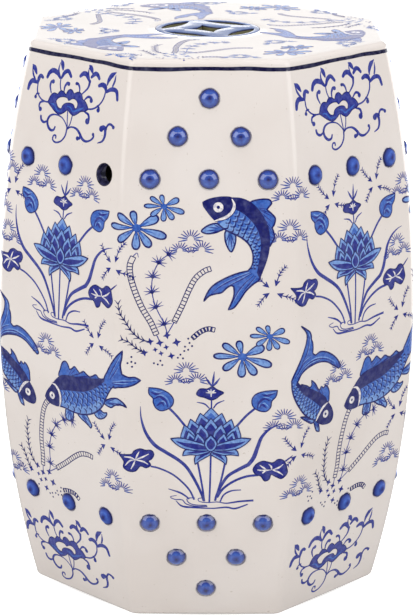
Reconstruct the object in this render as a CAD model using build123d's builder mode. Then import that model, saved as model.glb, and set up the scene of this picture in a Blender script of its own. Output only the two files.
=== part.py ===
from build123d import *
from math import asin, atan, cos, degrees, radians, sin, sqrt, tan
import os

# Garden stool: an eight-sided barrel of glazed stoneware with a pierced coin in its seat.
# It stands on the XY plane around the Z axis. Sizes are in millimetres and angles in degrees.
# Faces are counted anticlockwise from above, starting at the front face, which looks along -Y.

# Barrel, measured across opposite flats
stool_height = 457.0
seat_flats = 282.0
belly_flats = 338.0
base_flats = 283.0
belly_level = 232.0
wall = 9.0
arris_radius = 10.0

# Seat slab on top of the walls
seat_thickness = 10.0
seat_edge_radius = 5.0

# Foot: the walls' bevelled lower edge and the flange inside it
foot_bevel = 3.0
foot_thickness = 9.0
foot_flange = 30.0

# Coin let into the seat: a ring, four eyes round the rim and a four-cornered heart
coin_diameter = 85.4
coin_ring = 4.9
coin_turn = 14.0
eye_spread = 70.0
eye_depth = 12.2
heart_corner = 18.4
heart_waist = 10.0

# Bosses: domes in a triangle on every other face and in a row on the faces between
boss_diameter = 15.5
boss_height = 4.0
boss_crown = 3.6
boss_sides = 12
triangle_mid_spacing = 48.0
triangle_base_spacing = 45.0
row_spacing = 44.0
row_shift = 1.0

# Boss levels, below the seat's top and above the ground
upper_tip_drop = 28.5
upper_mid_drop = 57.0
upper_base_drop = 89.0
lower_base_level = 87.0
lower_mid_level = 55.5
lower_tip_level = 26.0

# Vent for the firing, in the place of one boss of an upper row
vent_diameter = 16.0
vent_face = "front_left"

face_names = ["front", "front_right", "right", "back_right", "back", "back_left", "left", "front_left"]
face_angle = 360.0 / len(face_names)
triangle_faces = range(0, len(face_names), 2)
row_faces = range(1, len(face_names), 2)

seat_underside = stool_height - seat_thickness
upper_base_level = stool_height - upper_base_drop
row_places = [row_shift - row_spacing, row_shift, row_shift + row_spacing]
vent_place = (face_names.index(vent_face), row_places[-1])

os.makedirs("parts", exist_ok=True)


def side_arc(inset):
    """Arc of a face's middle, from the foot over the belly to the rim, inset from the stool's outside."""
    foot = (base_flats / 2 - inset, 0)
    belly = (belly_flats / 2 - inset, belly_level)
    rim = (seat_flats / 2 - inset, stool_height)
    return ThreePointArc(foot, belly, rim)


def barrel(inset):
    """Solid barrel with sharp arrises, its flats lying inset inside the stool's outer ones."""
    with BuildPart() as form:
        for turn in range(len(face_names) // 2):
            with BuildSketch(Plane.XZ.rotated((0, 0, turn * face_angle))):
                with BuildLine():
                    side = side_arc(inset)
                    Polyline(side @ 1, (0, stool_height), (0, 0), side @ 0)
                make_face()
                mirror(about=Plane.YZ)
            extrude(amount=belly_flats, both=True, mode=Mode.INTERSECT if turn else Mode.ADD)
    return form.part


def face_place(face, across, level):
    """Plane that touches a face's outside: X runs across the face and Z points straight out of it."""
    rise = level - outer_side.arc_center.Y
    out = outer_side.arc_center.X + sqrt(outer_side.radius**2 - rise**2)
    lean = asin(rise / outer_side.radius)
    heading = radians(face * face_angle - 90)
    ahead = Vector(cos(heading), sin(heading), 0)
    along = Vector(-sin(heading), cos(heading), 0)
    up = Vector(0, 0, 1)
    return Plane(
        origin=ahead * out + along * across + up * level,
        x_dir=along,
        z_dir=ahead * cos(lean) + up * sin(lean),
    )


with BuildLine():
    outer_side = side_arc(0)

# The stool's outer form, eased along its arrises, seat edge and foot, and the hollow inside it
with BuildPart() as outside:
    add(barrel(0))
    fillet(outside.edges().filter_by(lambda edge: edge.bounding_box().size.Z > arris_radius), arris_radius)
    chamfer(outside.edges().group_by(Axis.Z)[0], foot_bevel)
    fillet(outside.edges().group_by(Axis.Z)[-1], seat_edge_radius)

hollow = barrel(wall)

# Front wall panel: one side of the hollow barrel, mitred to its neighbours along both arrises
with BuildPart() as front_panel:
    add(outside.part)
    add(hollow, mode=Mode.SUBTRACT)
    with BuildSketch():
        reach = belly_flats
        half_width = reach * tan(radians(face_angle / 2))
        with BuildLine():
            Polyline((0, 0), (half_width, -reach), (-half_width, -reach), close=True)
        make_face()
    extrude(amount=seat_underside, mode=Mode.INTERSECT)

# Wall panels: eight alike, one of them with the vent
for face, face_name in enumerate(face_names):
    with BuildPart() as wall_panel:
        add(front_panel.part, rotation=(0, 0, face * face_angle))
        if face_name == vent_face:
            with Locations(face_place(*vent_place, upper_base_level)):
                Hole(radius=vent_diameter / 2, depth=2 * wall)
    wall_panel.part.label = f"wall_panel_{face_name}"
    export_step(wall_panel.part, f"parts/{wall_panel.part.label}.step")

# Seat slab: lies on the wall panels' rims and holds the coin in its middle
with BuildPart() as seat_slab:
    add(outside.part)
    split(bisect_by=Plane.XY.offset(seat_underside), keep=Keep.TOP)
    with Locations((0, 0, stool_height)):
        Hole(radius=coin_diameter / 2)
seat_slab.part.label = "seat_slab"
export_step(seat_slab.part, "parts/seat_slab.step")

# Coin medallion: pierced right through, as the stool's hand grip
with BuildSketch() as coin_eye:
    eye_rim = coin_diameter / 2 - coin_ring
    tip = Vector(eye_rim, 0, 0).rotate(Axis.Z, eye_spread / 2)
    other_tip = Vector(eye_rim, 0, 0).rotate(Axis.Z, -eye_spread / 2)
    with BuildLine():
        ThreePointArc(other_tip, (eye_rim, 0), tip)
        ThreePointArc(tip, (eye_rim - eye_depth, 0), other_tip)
    make_face()

with BuildSketch() as coin_heart:
    with BuildLine():
        for quarter in range(0, 360, 90):
            ThreePointArc(
                Vector(heart_corner, 0, 0).rotate(Axis.Z, quarter),
                Vector(heart_waist, 0, 0).rotate(Axis.Z, quarter + 45),
                Vector(heart_corner, 0, 0).rotate(Axis.Z, quarter + 90),
            )
    make_face()

with BuildPart() as coin_medallion:
    with BuildSketch(Plane.XY.offset(seat_underside).rotated((0, 0, coin_turn))):
        Circle(coin_diameter / 2)
        add(coin_heart.sketch, mode=Mode.SUBTRACT)
        with PolarLocations(0, 4, start_angle=45):
            add(coin_eye.sketch, mode=Mode.SUBTRACT)
    extrude(amount=seat_thickness)
coin_medallion.part.label = "coin_medallion"
export_step(coin_medallion.part, "parts/coin_medallion.step")

# Foot ring: the flange that closes in the open base and stiffens the walls
with BuildPart() as foot_ring:
    add(hollow)
    split(bisect_by=Plane.XY.offset(foot_thickness), keep=Keep.BOTTOM)
    with BuildSketch():
        mouth_flats = base_flats - 2 * (wall + foot_flange)
        RegularPolygon(mouth_flats / 2, len(face_names), major_radius=False, rotation=face_angle / 2)
    extrude(amount=foot_thickness, mode=Mode.SUBTRACT)
foot_ring.part.label = "foot_ring"
export_step(foot_ring.part, "parts/foot_ring.step")

# One boss, standing on its own axis: a dome in two bands of flats
with BuildPart() as boss:
    boss_radius = boss_diameter / 2
    dome_radius = (boss_radius**2 + boss_height**2) / (2 * boss_height)
    shoulder_radius = dome_radius * cos(radians(45))
    shoulder_height = boss_height - dome_radius + shoulder_radius
    flank_slope = (boss_radius - shoulder_radius) / shoulder_height
    crown_slope = (shoulder_radius - boss_crown / 2) / (boss_height - shoulder_height)
    with BuildSketch():
        RegularPolygon(boss_radius, boss_sides)
    extrude(amount=shoulder_height, taper=degrees(atan(flank_slope)))
    shoulder = boss.faces().sort_by(Axis.Z)[-1]
    extrude(shoulder, amount=boss_height - shoulder_height, taper=degrees(atan(crown_slope)))

# Boss tiers: the faces that carry each tier, the places across a face, and the level
tip_places = [0]
mid_places = [-triangle_mid_spacing / 2, triangle_mid_spacing / 2]
base_places = [-triangle_base_spacing, 0, triangle_base_spacing]
boss_tiers = {
    "upper_triangle_tip_bosses": (triangle_faces, tip_places, stool_height - upper_tip_drop),
    "upper_triangle_mid_bosses": (triangle_faces, mid_places, stool_height - upper_mid_drop),
    "upper_triangle_base_bosses": (triangle_faces, base_places, upper_base_level),
    "upper_row_bosses": (row_faces, row_places, upper_base_level),
    "lower_row_bosses": (row_faces, row_places, lower_base_level),
    "lower_triangle_base_bosses": (triangle_faces, base_places, lower_base_level),
    "lower_triangle_mid_bosses": (triangle_faces, mid_places, lower_mid_level),
    "lower_triangle_tip_bosses": (triangle_faces, tip_places, lower_tip_level),
}
for tier_name, (faces, places, level) in boss_tiers.items():
    spots = [(face, across) for face in faces for across in places]
    if level == upper_base_level:
        spots = [spot for spot in spots if spot != vent_place]
    with BuildPart() as boss_tier:
        with Locations(*[face_place(face, across, level) for face, across in spots]):
            add(boss.part)
    boss_tier.part.label = tier_name
    export_step(boss_tier.part, f"parts/{tier_name}.step")
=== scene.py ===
from math import atan2, ceil, cos, degrees, pi, radians, sin, sqrt, tan

import bpy
import numpy as np
from mathutils import Matrix, Vector
from mathutils.geometry import delaunay_2d_cdt


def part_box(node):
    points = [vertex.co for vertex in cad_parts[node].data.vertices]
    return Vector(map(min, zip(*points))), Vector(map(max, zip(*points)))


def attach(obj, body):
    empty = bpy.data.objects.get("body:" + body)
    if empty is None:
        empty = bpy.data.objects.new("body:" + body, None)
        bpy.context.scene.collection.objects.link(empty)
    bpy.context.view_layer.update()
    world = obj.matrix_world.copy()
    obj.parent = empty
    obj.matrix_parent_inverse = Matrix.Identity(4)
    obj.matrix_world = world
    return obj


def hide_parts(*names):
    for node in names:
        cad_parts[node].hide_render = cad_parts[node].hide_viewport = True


# Garden stool: an eight-sided barrel of blue and white glazed stoneware.
# Lengths are in millimetres until a mesh is made, and faces are counted as in the CAD model:
# anticlockwise from above, starting at the front face, which looks along -Y.

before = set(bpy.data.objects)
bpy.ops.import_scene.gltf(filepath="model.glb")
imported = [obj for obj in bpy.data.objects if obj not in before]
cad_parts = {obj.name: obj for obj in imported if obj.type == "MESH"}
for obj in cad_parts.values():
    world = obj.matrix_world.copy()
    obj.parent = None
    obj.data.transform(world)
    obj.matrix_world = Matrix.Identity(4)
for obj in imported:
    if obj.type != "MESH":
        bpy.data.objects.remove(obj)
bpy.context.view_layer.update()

MM = 0.001
FACE_NAMES = ["front", "front_right", "right", "back_right", "back", "back_left", "left", "front_left"]
FACE_ANGLE = 360 / len(FACE_NAMES)
MITRE = tan(radians(FACE_ANGLE / 2))
TRIANGLE_FACES, ROW_FACES = range(0, len(FACE_NAMES), 2), range(1, len(FACE_NAMES), 2)

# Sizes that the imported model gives
SEAT_LOW, SEAT_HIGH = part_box("seat_slab")
COIN_LOW, COIN_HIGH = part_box("coin_medallion")
HEIGHT = SEAT_HIGH.z / MM
SEAT_UNDERSIDE = SEAT_LOW.z / MM
COIN_RADIUS = (COIN_HIGH.x - COIN_LOW.x) / 2 / MM

# Driving sizes of the barrel's side, as in the CAD model
FOOT_HALF, BELLY_HALF, RIM_HALF = 141.5, 169.0, 141.0
BELLY_LEVEL = 232.0
WALL = 9.0
ARRIS_RADIUS = 10.0
RIM_ROUND = 5.0

# Rounded edge in the place of the CAD model's foot bevel
FOOT_ROUND = 3.4

# Bosses: triangles on every other face, rows on the faces between, and the firing vent in one row
BOSS_RADIUS, BOSS_HEIGHT = 7.75, 4.0
TIP_PLACES, MID_PLACES, BASE_PLACES = [0.0], [-24.0, 24.0], [-45.0, 0.0, 45.0]
ROW_PLACES = [-43.0, 1.0, 45.0]
UPPER_TIP_LEVEL, UPPER_MID_LEVEL, UPPER_BASE_LEVEL = HEIGHT - 28.5, HEIGHT - 57.0, HEIGHT - 89.0
LOWER_BASE_LEVEL, LOWER_MID_LEVEL, LOWER_TIP_LEVEL = 87.0, 55.5, 26.0
VENT_FACE, VENT_RADIUS = FACE_NAMES.index("front_left"), 8.0
VENT_MIDDLE = (ROW_PLACES[-1], UPPER_BASE_LEVEL)

# Coin let into the seat
COIN_TURN = 14.0
COIN_GAP = 0.25
# Depths of the eased rim and of the nearly black band down the openings, partly pooled cobalt and partly
# painted shade
COIN_EASE, COIN_POOL_AND_SHADE = 0.6, 1.6
EYE_RIM, EYE_DEPTH, EYE_SPREAD = 37.8, 12.2, 70.0
HEART_CORNER, HEART_WAIST = 18.4, 10.0


def circle_through(p, q, r):
    """Centre and radius of the circle through three points."""
    (ax, ay), (bx, by), (cx, cy) = p, q, r
    d = 2 * (ax * (by - cy) + bx * (cy - ay) + cx * (ay - by))
    a, b, c = ax**2 + ay**2, bx**2 + by**2, cx**2 + cy**2
    x = (a * (by - cy) + b * (cy - ay) + c * (ay - by)) / d
    y = (a * (cx - bx) + b * (ax - cx) + c * (bx - ax)) / d
    return x, y, sqrt((ax - x) ** 2 + (ay - y) ** 2)


SIDE_X, SIDE_Z, SIDE_RADIUS = circle_through((FOOT_HALF, 0), (BELLY_HALF, BELLY_LEVEL), (RIM_HALF, HEIGHT))


def half_flats(level):
    """Distance from the axis to a face's middle at a level."""
    return SIDE_X + np.sqrt(SIDE_RADIUS**2 - (level - SIDE_Z) ** 2)


def face_heading(face):
    """Direction in which a face looks, in radians."""
    return np.radians(face * FACE_ANGLE - 90)


def face_along(face):
    """Unit vector that runs across a face, level with the ground."""
    heading = face_heading(face)
    return np.array([-sin(heading), cos(heading), 0])


def barrel_points(face, across, level, lift=0.0, arris=ARRIS_RADIUS):
    """Points on the barrel: across a face from its middle, and round its arrises, raised by lift."""
    across, level, lift = np.broadcast_arrays(*[np.asarray(v, float) for v in (across, level, lift)])
    flat = half_flats(level) + lift
    half_width = flat * MITRE
    ease = arris * MITRE
    turns = np.floor((across + half_width) / (2 * half_width))
    place = across - 2 * half_width * turns
    side = np.sign(place)
    past = np.clip(np.abs(place) - (half_width - ease), 0, None)
    bend = past / (2 * ease) * radians(FACE_ANGLE) * side
    ahead = flat - arris + arris * np.cos(bend)
    along = np.clip(place, ease - half_width, half_width - ease) + arris * np.sin(bend)
    heading = face_heading(face + turns)
    x = ahead * np.cos(heading) - along * np.sin(heading)
    y = ahead * np.sin(heading) + along * np.cos(heading)
    return np.stack([x, y, level], axis=-1)


def unit(vectors):
    """Vectors of length one."""
    return vectors / np.linalg.norm(vectors, axis=-1, keepdims=True)


def left_of(vectors):
    """Flat vectors turned a quarter to the left."""
    return np.stack([-vectors[..., 1], vectors[..., 0]], axis=-1)


def at_level(flat, level):
    """Flat points raised to a level."""
    return np.concatenate([flat, np.full((len(flat), 1), level)], axis=1)


def barrel_normals(face, across, level):
    """Outward normals of the barrel."""
    step = 0.5
    along = barrel_points(face, across + step, level) - barrel_points(face, across - step, level)
    up = barrel_points(face, across, level + step) - barrel_points(face, across, level - step)
    return unit(np.cross(along, up))


def column_across(column, flat, arris):
    """Distance across a face of a mesh column: -1 to 1 spans the flat, and 1 to 2 half of an arris."""
    ease = arris * MITRE
    on_flat = np.clip(column, -1, 1) * (flat * MITRE - ease)
    return on_flat + (column - np.clip(column, -1, 1)) * ease


def add_object(name, data):
    """A new object in the scene."""
    made = bpy.data.objects.new(name, data)
    bpy.context.scene.collection.objects.link(made)
    return made


def make_piece(name, points, faces, materials, normals=None, face_materials=None):
    """A smooth mesh that rides on the stool, from points in millimetres."""
    mesh = bpy.data.meshes.new(name)
    mesh.from_pydata((np.asarray(points) * MM).tolist(), [], faces)
    mesh.polygons.foreach_set("use_smooth", np.ones(len(mesh.polygons), bool))
    for material in materials:
        mesh.materials.append(material)
    if face_materials is not None:
        mesh.polygons.foreach_set("material_index", np.asarray(face_materials, np.int32))
    mesh.validate()
    if normals is not None:
        mesh.normals_split_custom_set_from_vertices(normals.tolist())
    piece = add_object(name, mesh)
    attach(piece, "root")
    return piece


def keep_on_points(piece, name, kind, field, values):
    """Values kept as an attribute of a piece's points."""
    attribute = piece.data.attributes.new(name, kind, "POINT")
    attribute.data.foreach_set(field, np.asarray(values, np.float32).ravel())


# Materials


def srgb(red, green, blue):
    """Linear colour of an 8-bit display colour."""
    values = [v / 255 for v in (red, green, blue)]
    return (*[v / 12.92 if v <= 0.04045 else ((v + 0.055) / 1.055) ** 2.4 for v in values], 1.0)


class NodeTree:
    """Nodes of a material or a world, with short calls for those used here."""

    def __init__(self, owner):
        owner.use_nodes = True
        self.nodes = owner.node_tree.nodes
        self.links = owner.node_tree.links

    def put(self, socket, value):
        """Link an input to an output, or set its constant."""
        if isinstance(value, bpy.types.NodeSocket):
            self.links.new(value, socket)
        else:
            socket.default_value = value

    def node(self, kind, inputs=None, **settings):
        """Outputs of a new node."""
        made = self.nodes.new(f"ShaderNode{kind}")
        for name, value in settings.items():
            setattr(made, name, value)
        for name, value in (inputs or {}).items():
            self.put(made.inputs[name], value)
        return made.outputs

    def math(self, operation, *values):
        """Result of a math operation on two or three values."""
        return self.node("Math", dict(enumerate(values)), operation=operation)["Value"]

    def range(self, value, low, high, start=0.0, end=1.0):
        """A number that runs from low to high while a value runs from start to end."""
        ends = {"From Min": start, "From Max": end, "To Min": low, "To Max": high}
        return self.node("MapRange", {"Value": value, **ends})["Result"]

    def mix(self, factor, a, b, kind="RGBA", blend="MIX"):
        """Two colours, or numbers if the kind is FLOAT, mixed by a factor."""
        inputs = {"Factor": factor, "A": a, "B": b}
        return self.node("Mix", inputs, data_type=kind, blend_type=blend)["Result"]


class Shader(NodeTree):
    """A procedural material, with its textures in the stool's own frame."""

    def __init__(self, name):
        self.material = bpy.data.materials.new(name)
        super().__init__(self.material)
        self.surface = self.nodes["Principled BSDF"].inputs
        self.place = self.node("TexCoord")["Object"]

    def set(self, **values):
        """Link or set inputs of the surface."""
        for name, value in values.items():
            self.put(self.surface[name.replace("_", " ")], value)

    def noise(self, size, detail, roughness=0.5):
        """Noise with spots of a size in millimetres."""
        inputs = {"Scale": 1 / (size * MM), "Detail": detail, "Roughness": roughness}
        return self.node("TexNoise", {"Vector": self.place, **inputs})["Fac"]

    def ramp(self, factor, *stops):
        """Colours at positions along a factor."""
        colour = self.node("ValToRGB", {"Fac": factor})["Color"]
        elements = colour.node.color_ramp.elements
        while len(elements) < len(stops):
            elements.new(0.5)
        for element, (position, tone) in zip(elements, stops):
            element.position = position
            element.color = tone
        return colour

    def attribute(self, name, output):
        """Values kept on the points of a mesh."""
        return self.node("Attribute", attribute_name=name)[output]

    def bump(self, height, depth, strength):
        """Relief with a depth in millimetres."""
        inputs = {"Height": height, "Distance": depth * MM, "Strength": strength}
        self.set(Normal=self.node("Bump", inputs)["Normal"])


CREAM, CREAM_WARM, SPECK = srgb(231, 223, 218), srgb(226, 217, 211), srgb(158, 140, 118)
COIN_BLUE, COIN_PALE = srgb(78, 98, 148), srgb(112, 130, 174)
CLAY, CLAY_DARK, CLAY_STAIN = srgb(156, 151, 110), srgb(112, 108, 76), srgb(66, 62, 42)
BOSS_EYE, BOSS_RIM = srgb(18, 26, 112), srgb(14, 20, 96)
BOSS_BLUE, BOSS_LIGHT, BOSS_STREAK = srgb(38, 68, 164), srgb(66, 108, 200), srgb(176, 182, 214)
# Nearly black blues of pooled cobalt, also laid as painted shade down the vent's bore and the coin's openings
NAVY, NAVY_THIN = srgb(16, 18, 46), srgb(70, 68, 106)
INK_WASHED, INK_POOLED = srgb(206, 212, 232), srgb(196, 198, 222)
BLACK, WHITE = srgb(0, 0, 0), srgb(255, 255, 255)
GLAZE_SMOOTH, DULL_SMOOTH, SMOOTH_SPAN = 0.13, 0.5, 0.11
GLAZE_COAT, COIN_COAT, PAINT_COAT = 0.6, 0.1, 0.4
THIN_SPECULAR = 0.3


def glaze_gloss(shader, smoothest=GLAZE_SMOOTH, coat=GLAZE_COAT):
    """Clear glaze: a hard coat over the body, gently uneven as it ran and pooled."""
    roughness = shader.range(shader.noise(size=60, detail=2), smoothest, smoothest + SMOOTH_SPAN)
    shader.set(Roughness=roughness, Coat_Weight=coat, Coat_Roughness=0.05)
    waves = shader.mix(0.25, shader.noise(size=38, detail=1.5), shader.noise(size=7, detail=2))
    shader.bump(waves, depth=0.5, strength=0.35)


def spotted(shader, colour, noise, low, high, share, spot):
    """A colour with a share of another one in the spots where a noise is high."""
    spots = shader.ramp(noise, (low, BLACK), (high, WHITE))
    return shader.mix(shader.math("MULTIPLY", spots, share), colour, spot)


def white_glaze_material():
    """Milky glaze with a warm cast, faint mottling and a few iron specks."""
    shader = Shader("white_glaze")
    cloud = shader.ramp(shader.noise(size=85, detail=4), (0.35, CREAM_WARM), (0.62, CREAM))
    specks = shader.noise(size=2.2, detail=1)
    shader.set(Base_Color=spotted(shader, cloud, specks, 0.76, 0.80, 0.45, SPECK))
    glaze_gloss(shader)
    return shader.material


def bare_stoneware_material():
    """Unglazed clay of the inside and the foot: sandy, toned and slightly pitted."""
    shader = Shader("bare_stoneware")
    tone = shader.ramp(shader.noise(size=30, detail=5), (0.3, CLAY_DARK), (0.65, CLAY))
    stains = shader.noise(size=12, detail=2)
    shader.set(Base_Color=spotted(shader, tone, stains, 0.62, 0.72, 0.3, CLAY_STAIN))
    shader.set(Roughness=shader.range(shader.noise(size=4, detail=3), 0.7, 0.95))
    shader.bump(shader.noise(size=1.4, detail=4, roughness=0.65), depth=0.4, strength=0.6)
    return shader.material


def boss_material(name, smoothest, coat):
    """Brushed cobalt on a dome: a dark dab, a paler body, a dark rim, and white over the luted edge."""
    shader = Shader(name)
    waver = shader.range(shader.noise(size=6, detail=2), -0.14, 0.14)
    reach = shader.math("ADD", shader.attribute("reach", "Fac"), waver)
    middle = [(0.07, BOSS_EYE), (0.24, BOSS_BLUE), (0.50, BOSS_LIGHT), (0.73, BOSS_BLUE)]
    rim = [(0.86, BOSS_RIM), (0.93, BOSS_RIM), (0.97, CREAM)]
    streaks = shader.ramp(shader.noise(size=3, detail=4), (0.3, BOSS_STREAK), (0.7, WHITE))
    brushed = shader.mix(1.0, shader.ramp(reach, *middle, *rim), streaks, blend="MULTIPLY")
    shader.set(Base_Color=brushed, Coat_IOR=2.0)
    glaze_gloss(shader, smoothest, coat)
    return shader.material


def pooled_cobalt_and_shade_material():
    """Cobalt that ran into an edge and pooled there, nearly black, and painted shade down the vent's bore and
    the coin's openings.
    """
    shader = Shader("pooled_cobalt_and_painted_shade")
    shader.set(Base_Color=shader.ramp(shader.noise(size=4, detail=3), (0.35, NAVY), (0.7, NAVY_THIN)))
    glaze_gloss(shader)
    return shader.material


def coin_material():
    """Thin blue-grey wash over the pierced coin, wiped paler in places."""
    shader = Shader("coin_wash")
    wash = shader.ramp(shader.noise(size=14, detail=4), (0.3, COIN_BLUE), (0.7, COIN_PALE))
    shader.set(Base_Color=wash, Specular_IOR_Level=THIN_SPECULAR)
    glaze_gloss(shader, coat=COIN_COAT)
    return shader.material


WHITE_GLAZE = white_glaze_material()
BARE_STONEWARE = bare_stoneware_material()
BOSS_GLAZE = boss_material("boss_glaze", GLAZE_SMOOTH, coat=1.0)
DULL_BOSS_GLAZE = boss_material("boss_glaze_dull", DULL_SMOOTH, coat=0.0)
POOLED_COBALT_AND_SHADE = pooled_cobalt_and_shade_material()
COIN_WASH = coin_material()

# Numbers of the materials on a pierced piece: its glaze, bare clay, and pooled cobalt that is also painted
# shade in holes
GLAZED, BARE, POOLED_AND_SHADED = range(3)


# Wall panels

FLAT_COLUMNS, ARRIS_COLUMNS = 24, 4
ROW_STEP, FOOT_STEPS, RIM_STEPS = 5.5, 5, 8
COLUMNS = np.concatenate([
    -2 + np.arange(ARRIS_COLUMNS) / ARRIS_COLUMNS,
    np.linspace(-1, 1, FLAT_COLUMNS + 1),
    1 + np.arange(1, ARRIS_COLUMNS + 1) / ARRIS_COLUMNS,
])


def wall_grid(face, rows, arris, columns=COLUMNS):
    """Grid of points for rows of (level, lift) and mesh columns."""
    grid = []
    for level, lift in rows:
        across = column_across(columns, half_flats(level) + lift, arris)
        grid.append(barrel_points(face, across, level, lift, arris))
    return np.array(grid)


def rounded_rows(level, radius, turns):
    """Rows round an edge, where an arc leaves the side at a level and turns by some degrees."""
    rows = []
    for turn in np.radians(turns):
        height = level + radius * sin(turn)
        out = half_flats(level) - radius * (1 - cos(turn))
        rows.append((height, out - half_flats(height)))
    return rows


def outer_rows():
    """Levels and lifts up a panel's outside, round the foot's edge and up the side."""
    count = ceil((SEAT_UNDERSIDE - FOOT_ROUND) / ROW_STEP)
    rows = rounded_rows(FOOT_ROUND, FOOT_ROUND, np.linspace(-90, 0, FOOT_STEPS + 1))
    return rows + [(level, 0.0) for level in np.linspace(FOOT_ROUND, SEAT_UNDERSIDE, count + 1)[1:]]


def grid_normals(grid):
    """Normals of a grid that runs up in rows and along in columns."""
    return unit(np.cross(np.gradient(grid, axis=1), np.gradient(grid, axis=0)))


def grid_faces(rows, columns):
    """Quads of a grid whose points are numbered row by row."""
    first = np.arange((rows - 1) * columns).reshape(rows - 1, columns)[:, :-1].ravel()
    return np.stack([first, first + 1, first + columns + 1, first + columns], axis=-1)


def band_faces(low, high):
    """Quads between two closed rings of point numbers."""
    return np.stack([low, np.roll(low, -1), np.roll(high, -1), high], axis=-1).tolist()


def window_loop(columns, low_row, high_row, low_column, high_column):
    """Point numbers round a window in a grid, anticlockwise."""
    loop = [low_row * columns + c for c in range(low_column, high_column)]
    loop += [r * columns + high_column for r in range(low_row, high_row)]
    loop += [high_row * columns + c for c in range(high_column, low_column, -1)]
    loop += [r * columns + low_column for r in range(high_row, low_row, -1)]
    return np.array(loop)


def inside(points, loops):
    """Which points lie inside the loops, by the even-odd rule."""
    found = np.zeros(len(points), bool)
    x, y = points[:, :1], points[:, 1:]
    for loop in loops:
        x0, y0 = loop.T
        x1, y1 = np.roll(loop, -1, axis=0).T
        crosses = (y0 > y) != (y1 > y)
        rise = np.where(y1 == y0, 1, y1 - y0)
        right = x < x0 + (y - y0) * (x1 - x0) / rise
        found ^= np.sum(crosses & right, axis=1) % 2 == 1
    return found


def fill(loops, extra=None):
    """Points and triangles that fill closed loops by the even-odd rule, with any extra points inside."""
    points = np.concatenate(loops)
    edges = []
    start = 0
    for loop in loops:
        count = len(loop)
        edges += [(start + i, start + (i + 1) % count) for i in range(count)]
        start += count
    if extra is not None and len(extra):
        points = np.concatenate([points, extra[inside(extra, loops)]])
    made, _, faces, *_ = delaunay_2d_cdt([Vector(p) for p in points], edges, [], 0, 1e-4)
    made = np.array([tuple(p) for p in made])
    triangles = np.array(faces)
    return made, triangles[inside(made[triangles].mean(axis=1), loops)]


def fill_numbered(loops, numbers):
    """Triangles that fill closed loops, by the numbers of the loops' points."""
    border = np.concatenate(loops)
    made, triangles = fill(loops)
    nearest = [np.argmin(np.sum((border - point) ** 2, axis=1)) for point in made]
    return numbers[nearest][triangles]


def ring(radius, count):
    """Points of a circle, anticlockwise."""
    turn = np.arange(count) * 2 * pi / count
    return radius * np.stack([np.cos(turn), np.sin(turn)], axis=-1)


# Rings of the vent's eased mouth and its bore: radius and lift
VENT_RINGS = [(VENT_RADIUS + 0.9, 0.0), (VENT_RADIUS + 0.3, -0.25), (VENT_RADIUS, -0.9), (VENT_RADIUS, -WALL)]
VENT_SIDES, VENT_MARGIN = 40, 6.0


def wall_panel(face):
    """One side of the barrel: glazed outside, bare inside, mitred to its neighbours."""
    step = COLUMNS[1] - COLUMNS[0]
    wide = np.concatenate([[COLUMNS[0] - step], COLUMNS, [COLUMNS[-1] + step]])
    rows = outer_rows()
    outer = wall_grid(face, rows, ARRIS_RADIUS)
    inner = wall_grid(face, [(level, -WALL) for level, _ in rows], ARRIS_RADIUS - WALL)
    height, width = outer.shape[:2]
    count = height * width
    points = np.concatenate([outer.reshape(-1, 3), inner.reshape(-1, 3)])
    normals = np.zeros(points.shape)
    normals[:count] = grid_normals(wall_grid(face, rows, ARRIS_RADIUS, wide))[:, 1:-1].reshape(-1, 3)
    quads = grid_faces(height, width)
    out_faces, in_faces, bore_faces = quads.tolist(), (quads[:, ::-1] + count).tolist(), []
    border = window_loop(width, 0, height - 1, 0, width - 1)
    edge_faces = band_faces(border + count, border)
    if face == VENT_FACE:
        vented = cut_vent(rows, points, normals, out_faces, in_faces)
        points, normals, out_faces, in_faces, bore_faces = vented
    faces = out_faces + in_faces + edge_faces + bore_faces
    marks = [GLAZED] * len(out_faces) + [BARE] * (len(in_faces) + len(edge_faces))
    # The vent's bore is nearly black all through: pooled cobalt at its mouth, painted shade deeper in the
    # hole
    marks += [POOLED_AND_SHADED] * len(bore_faces)
    name = f"wall_panel_{FACE_NAMES[face]}"
    materials = [WHITE_GLAZE, BARE_STONEWARE, POOLED_COBALT_AND_SHADE]
    piece = make_piece(f"glazed_{name}", points, faces, materials, normals, marks)
    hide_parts(name)


def lines_round(lines, middle):
    """Numbers of the grid lines on either side of the vent."""
    reach = VENT_RADIUS + VENT_MARGIN
    return np.searchsorted(lines, middle - reach) - 1, np.searchsorted(lines, middle + reach)


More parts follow.
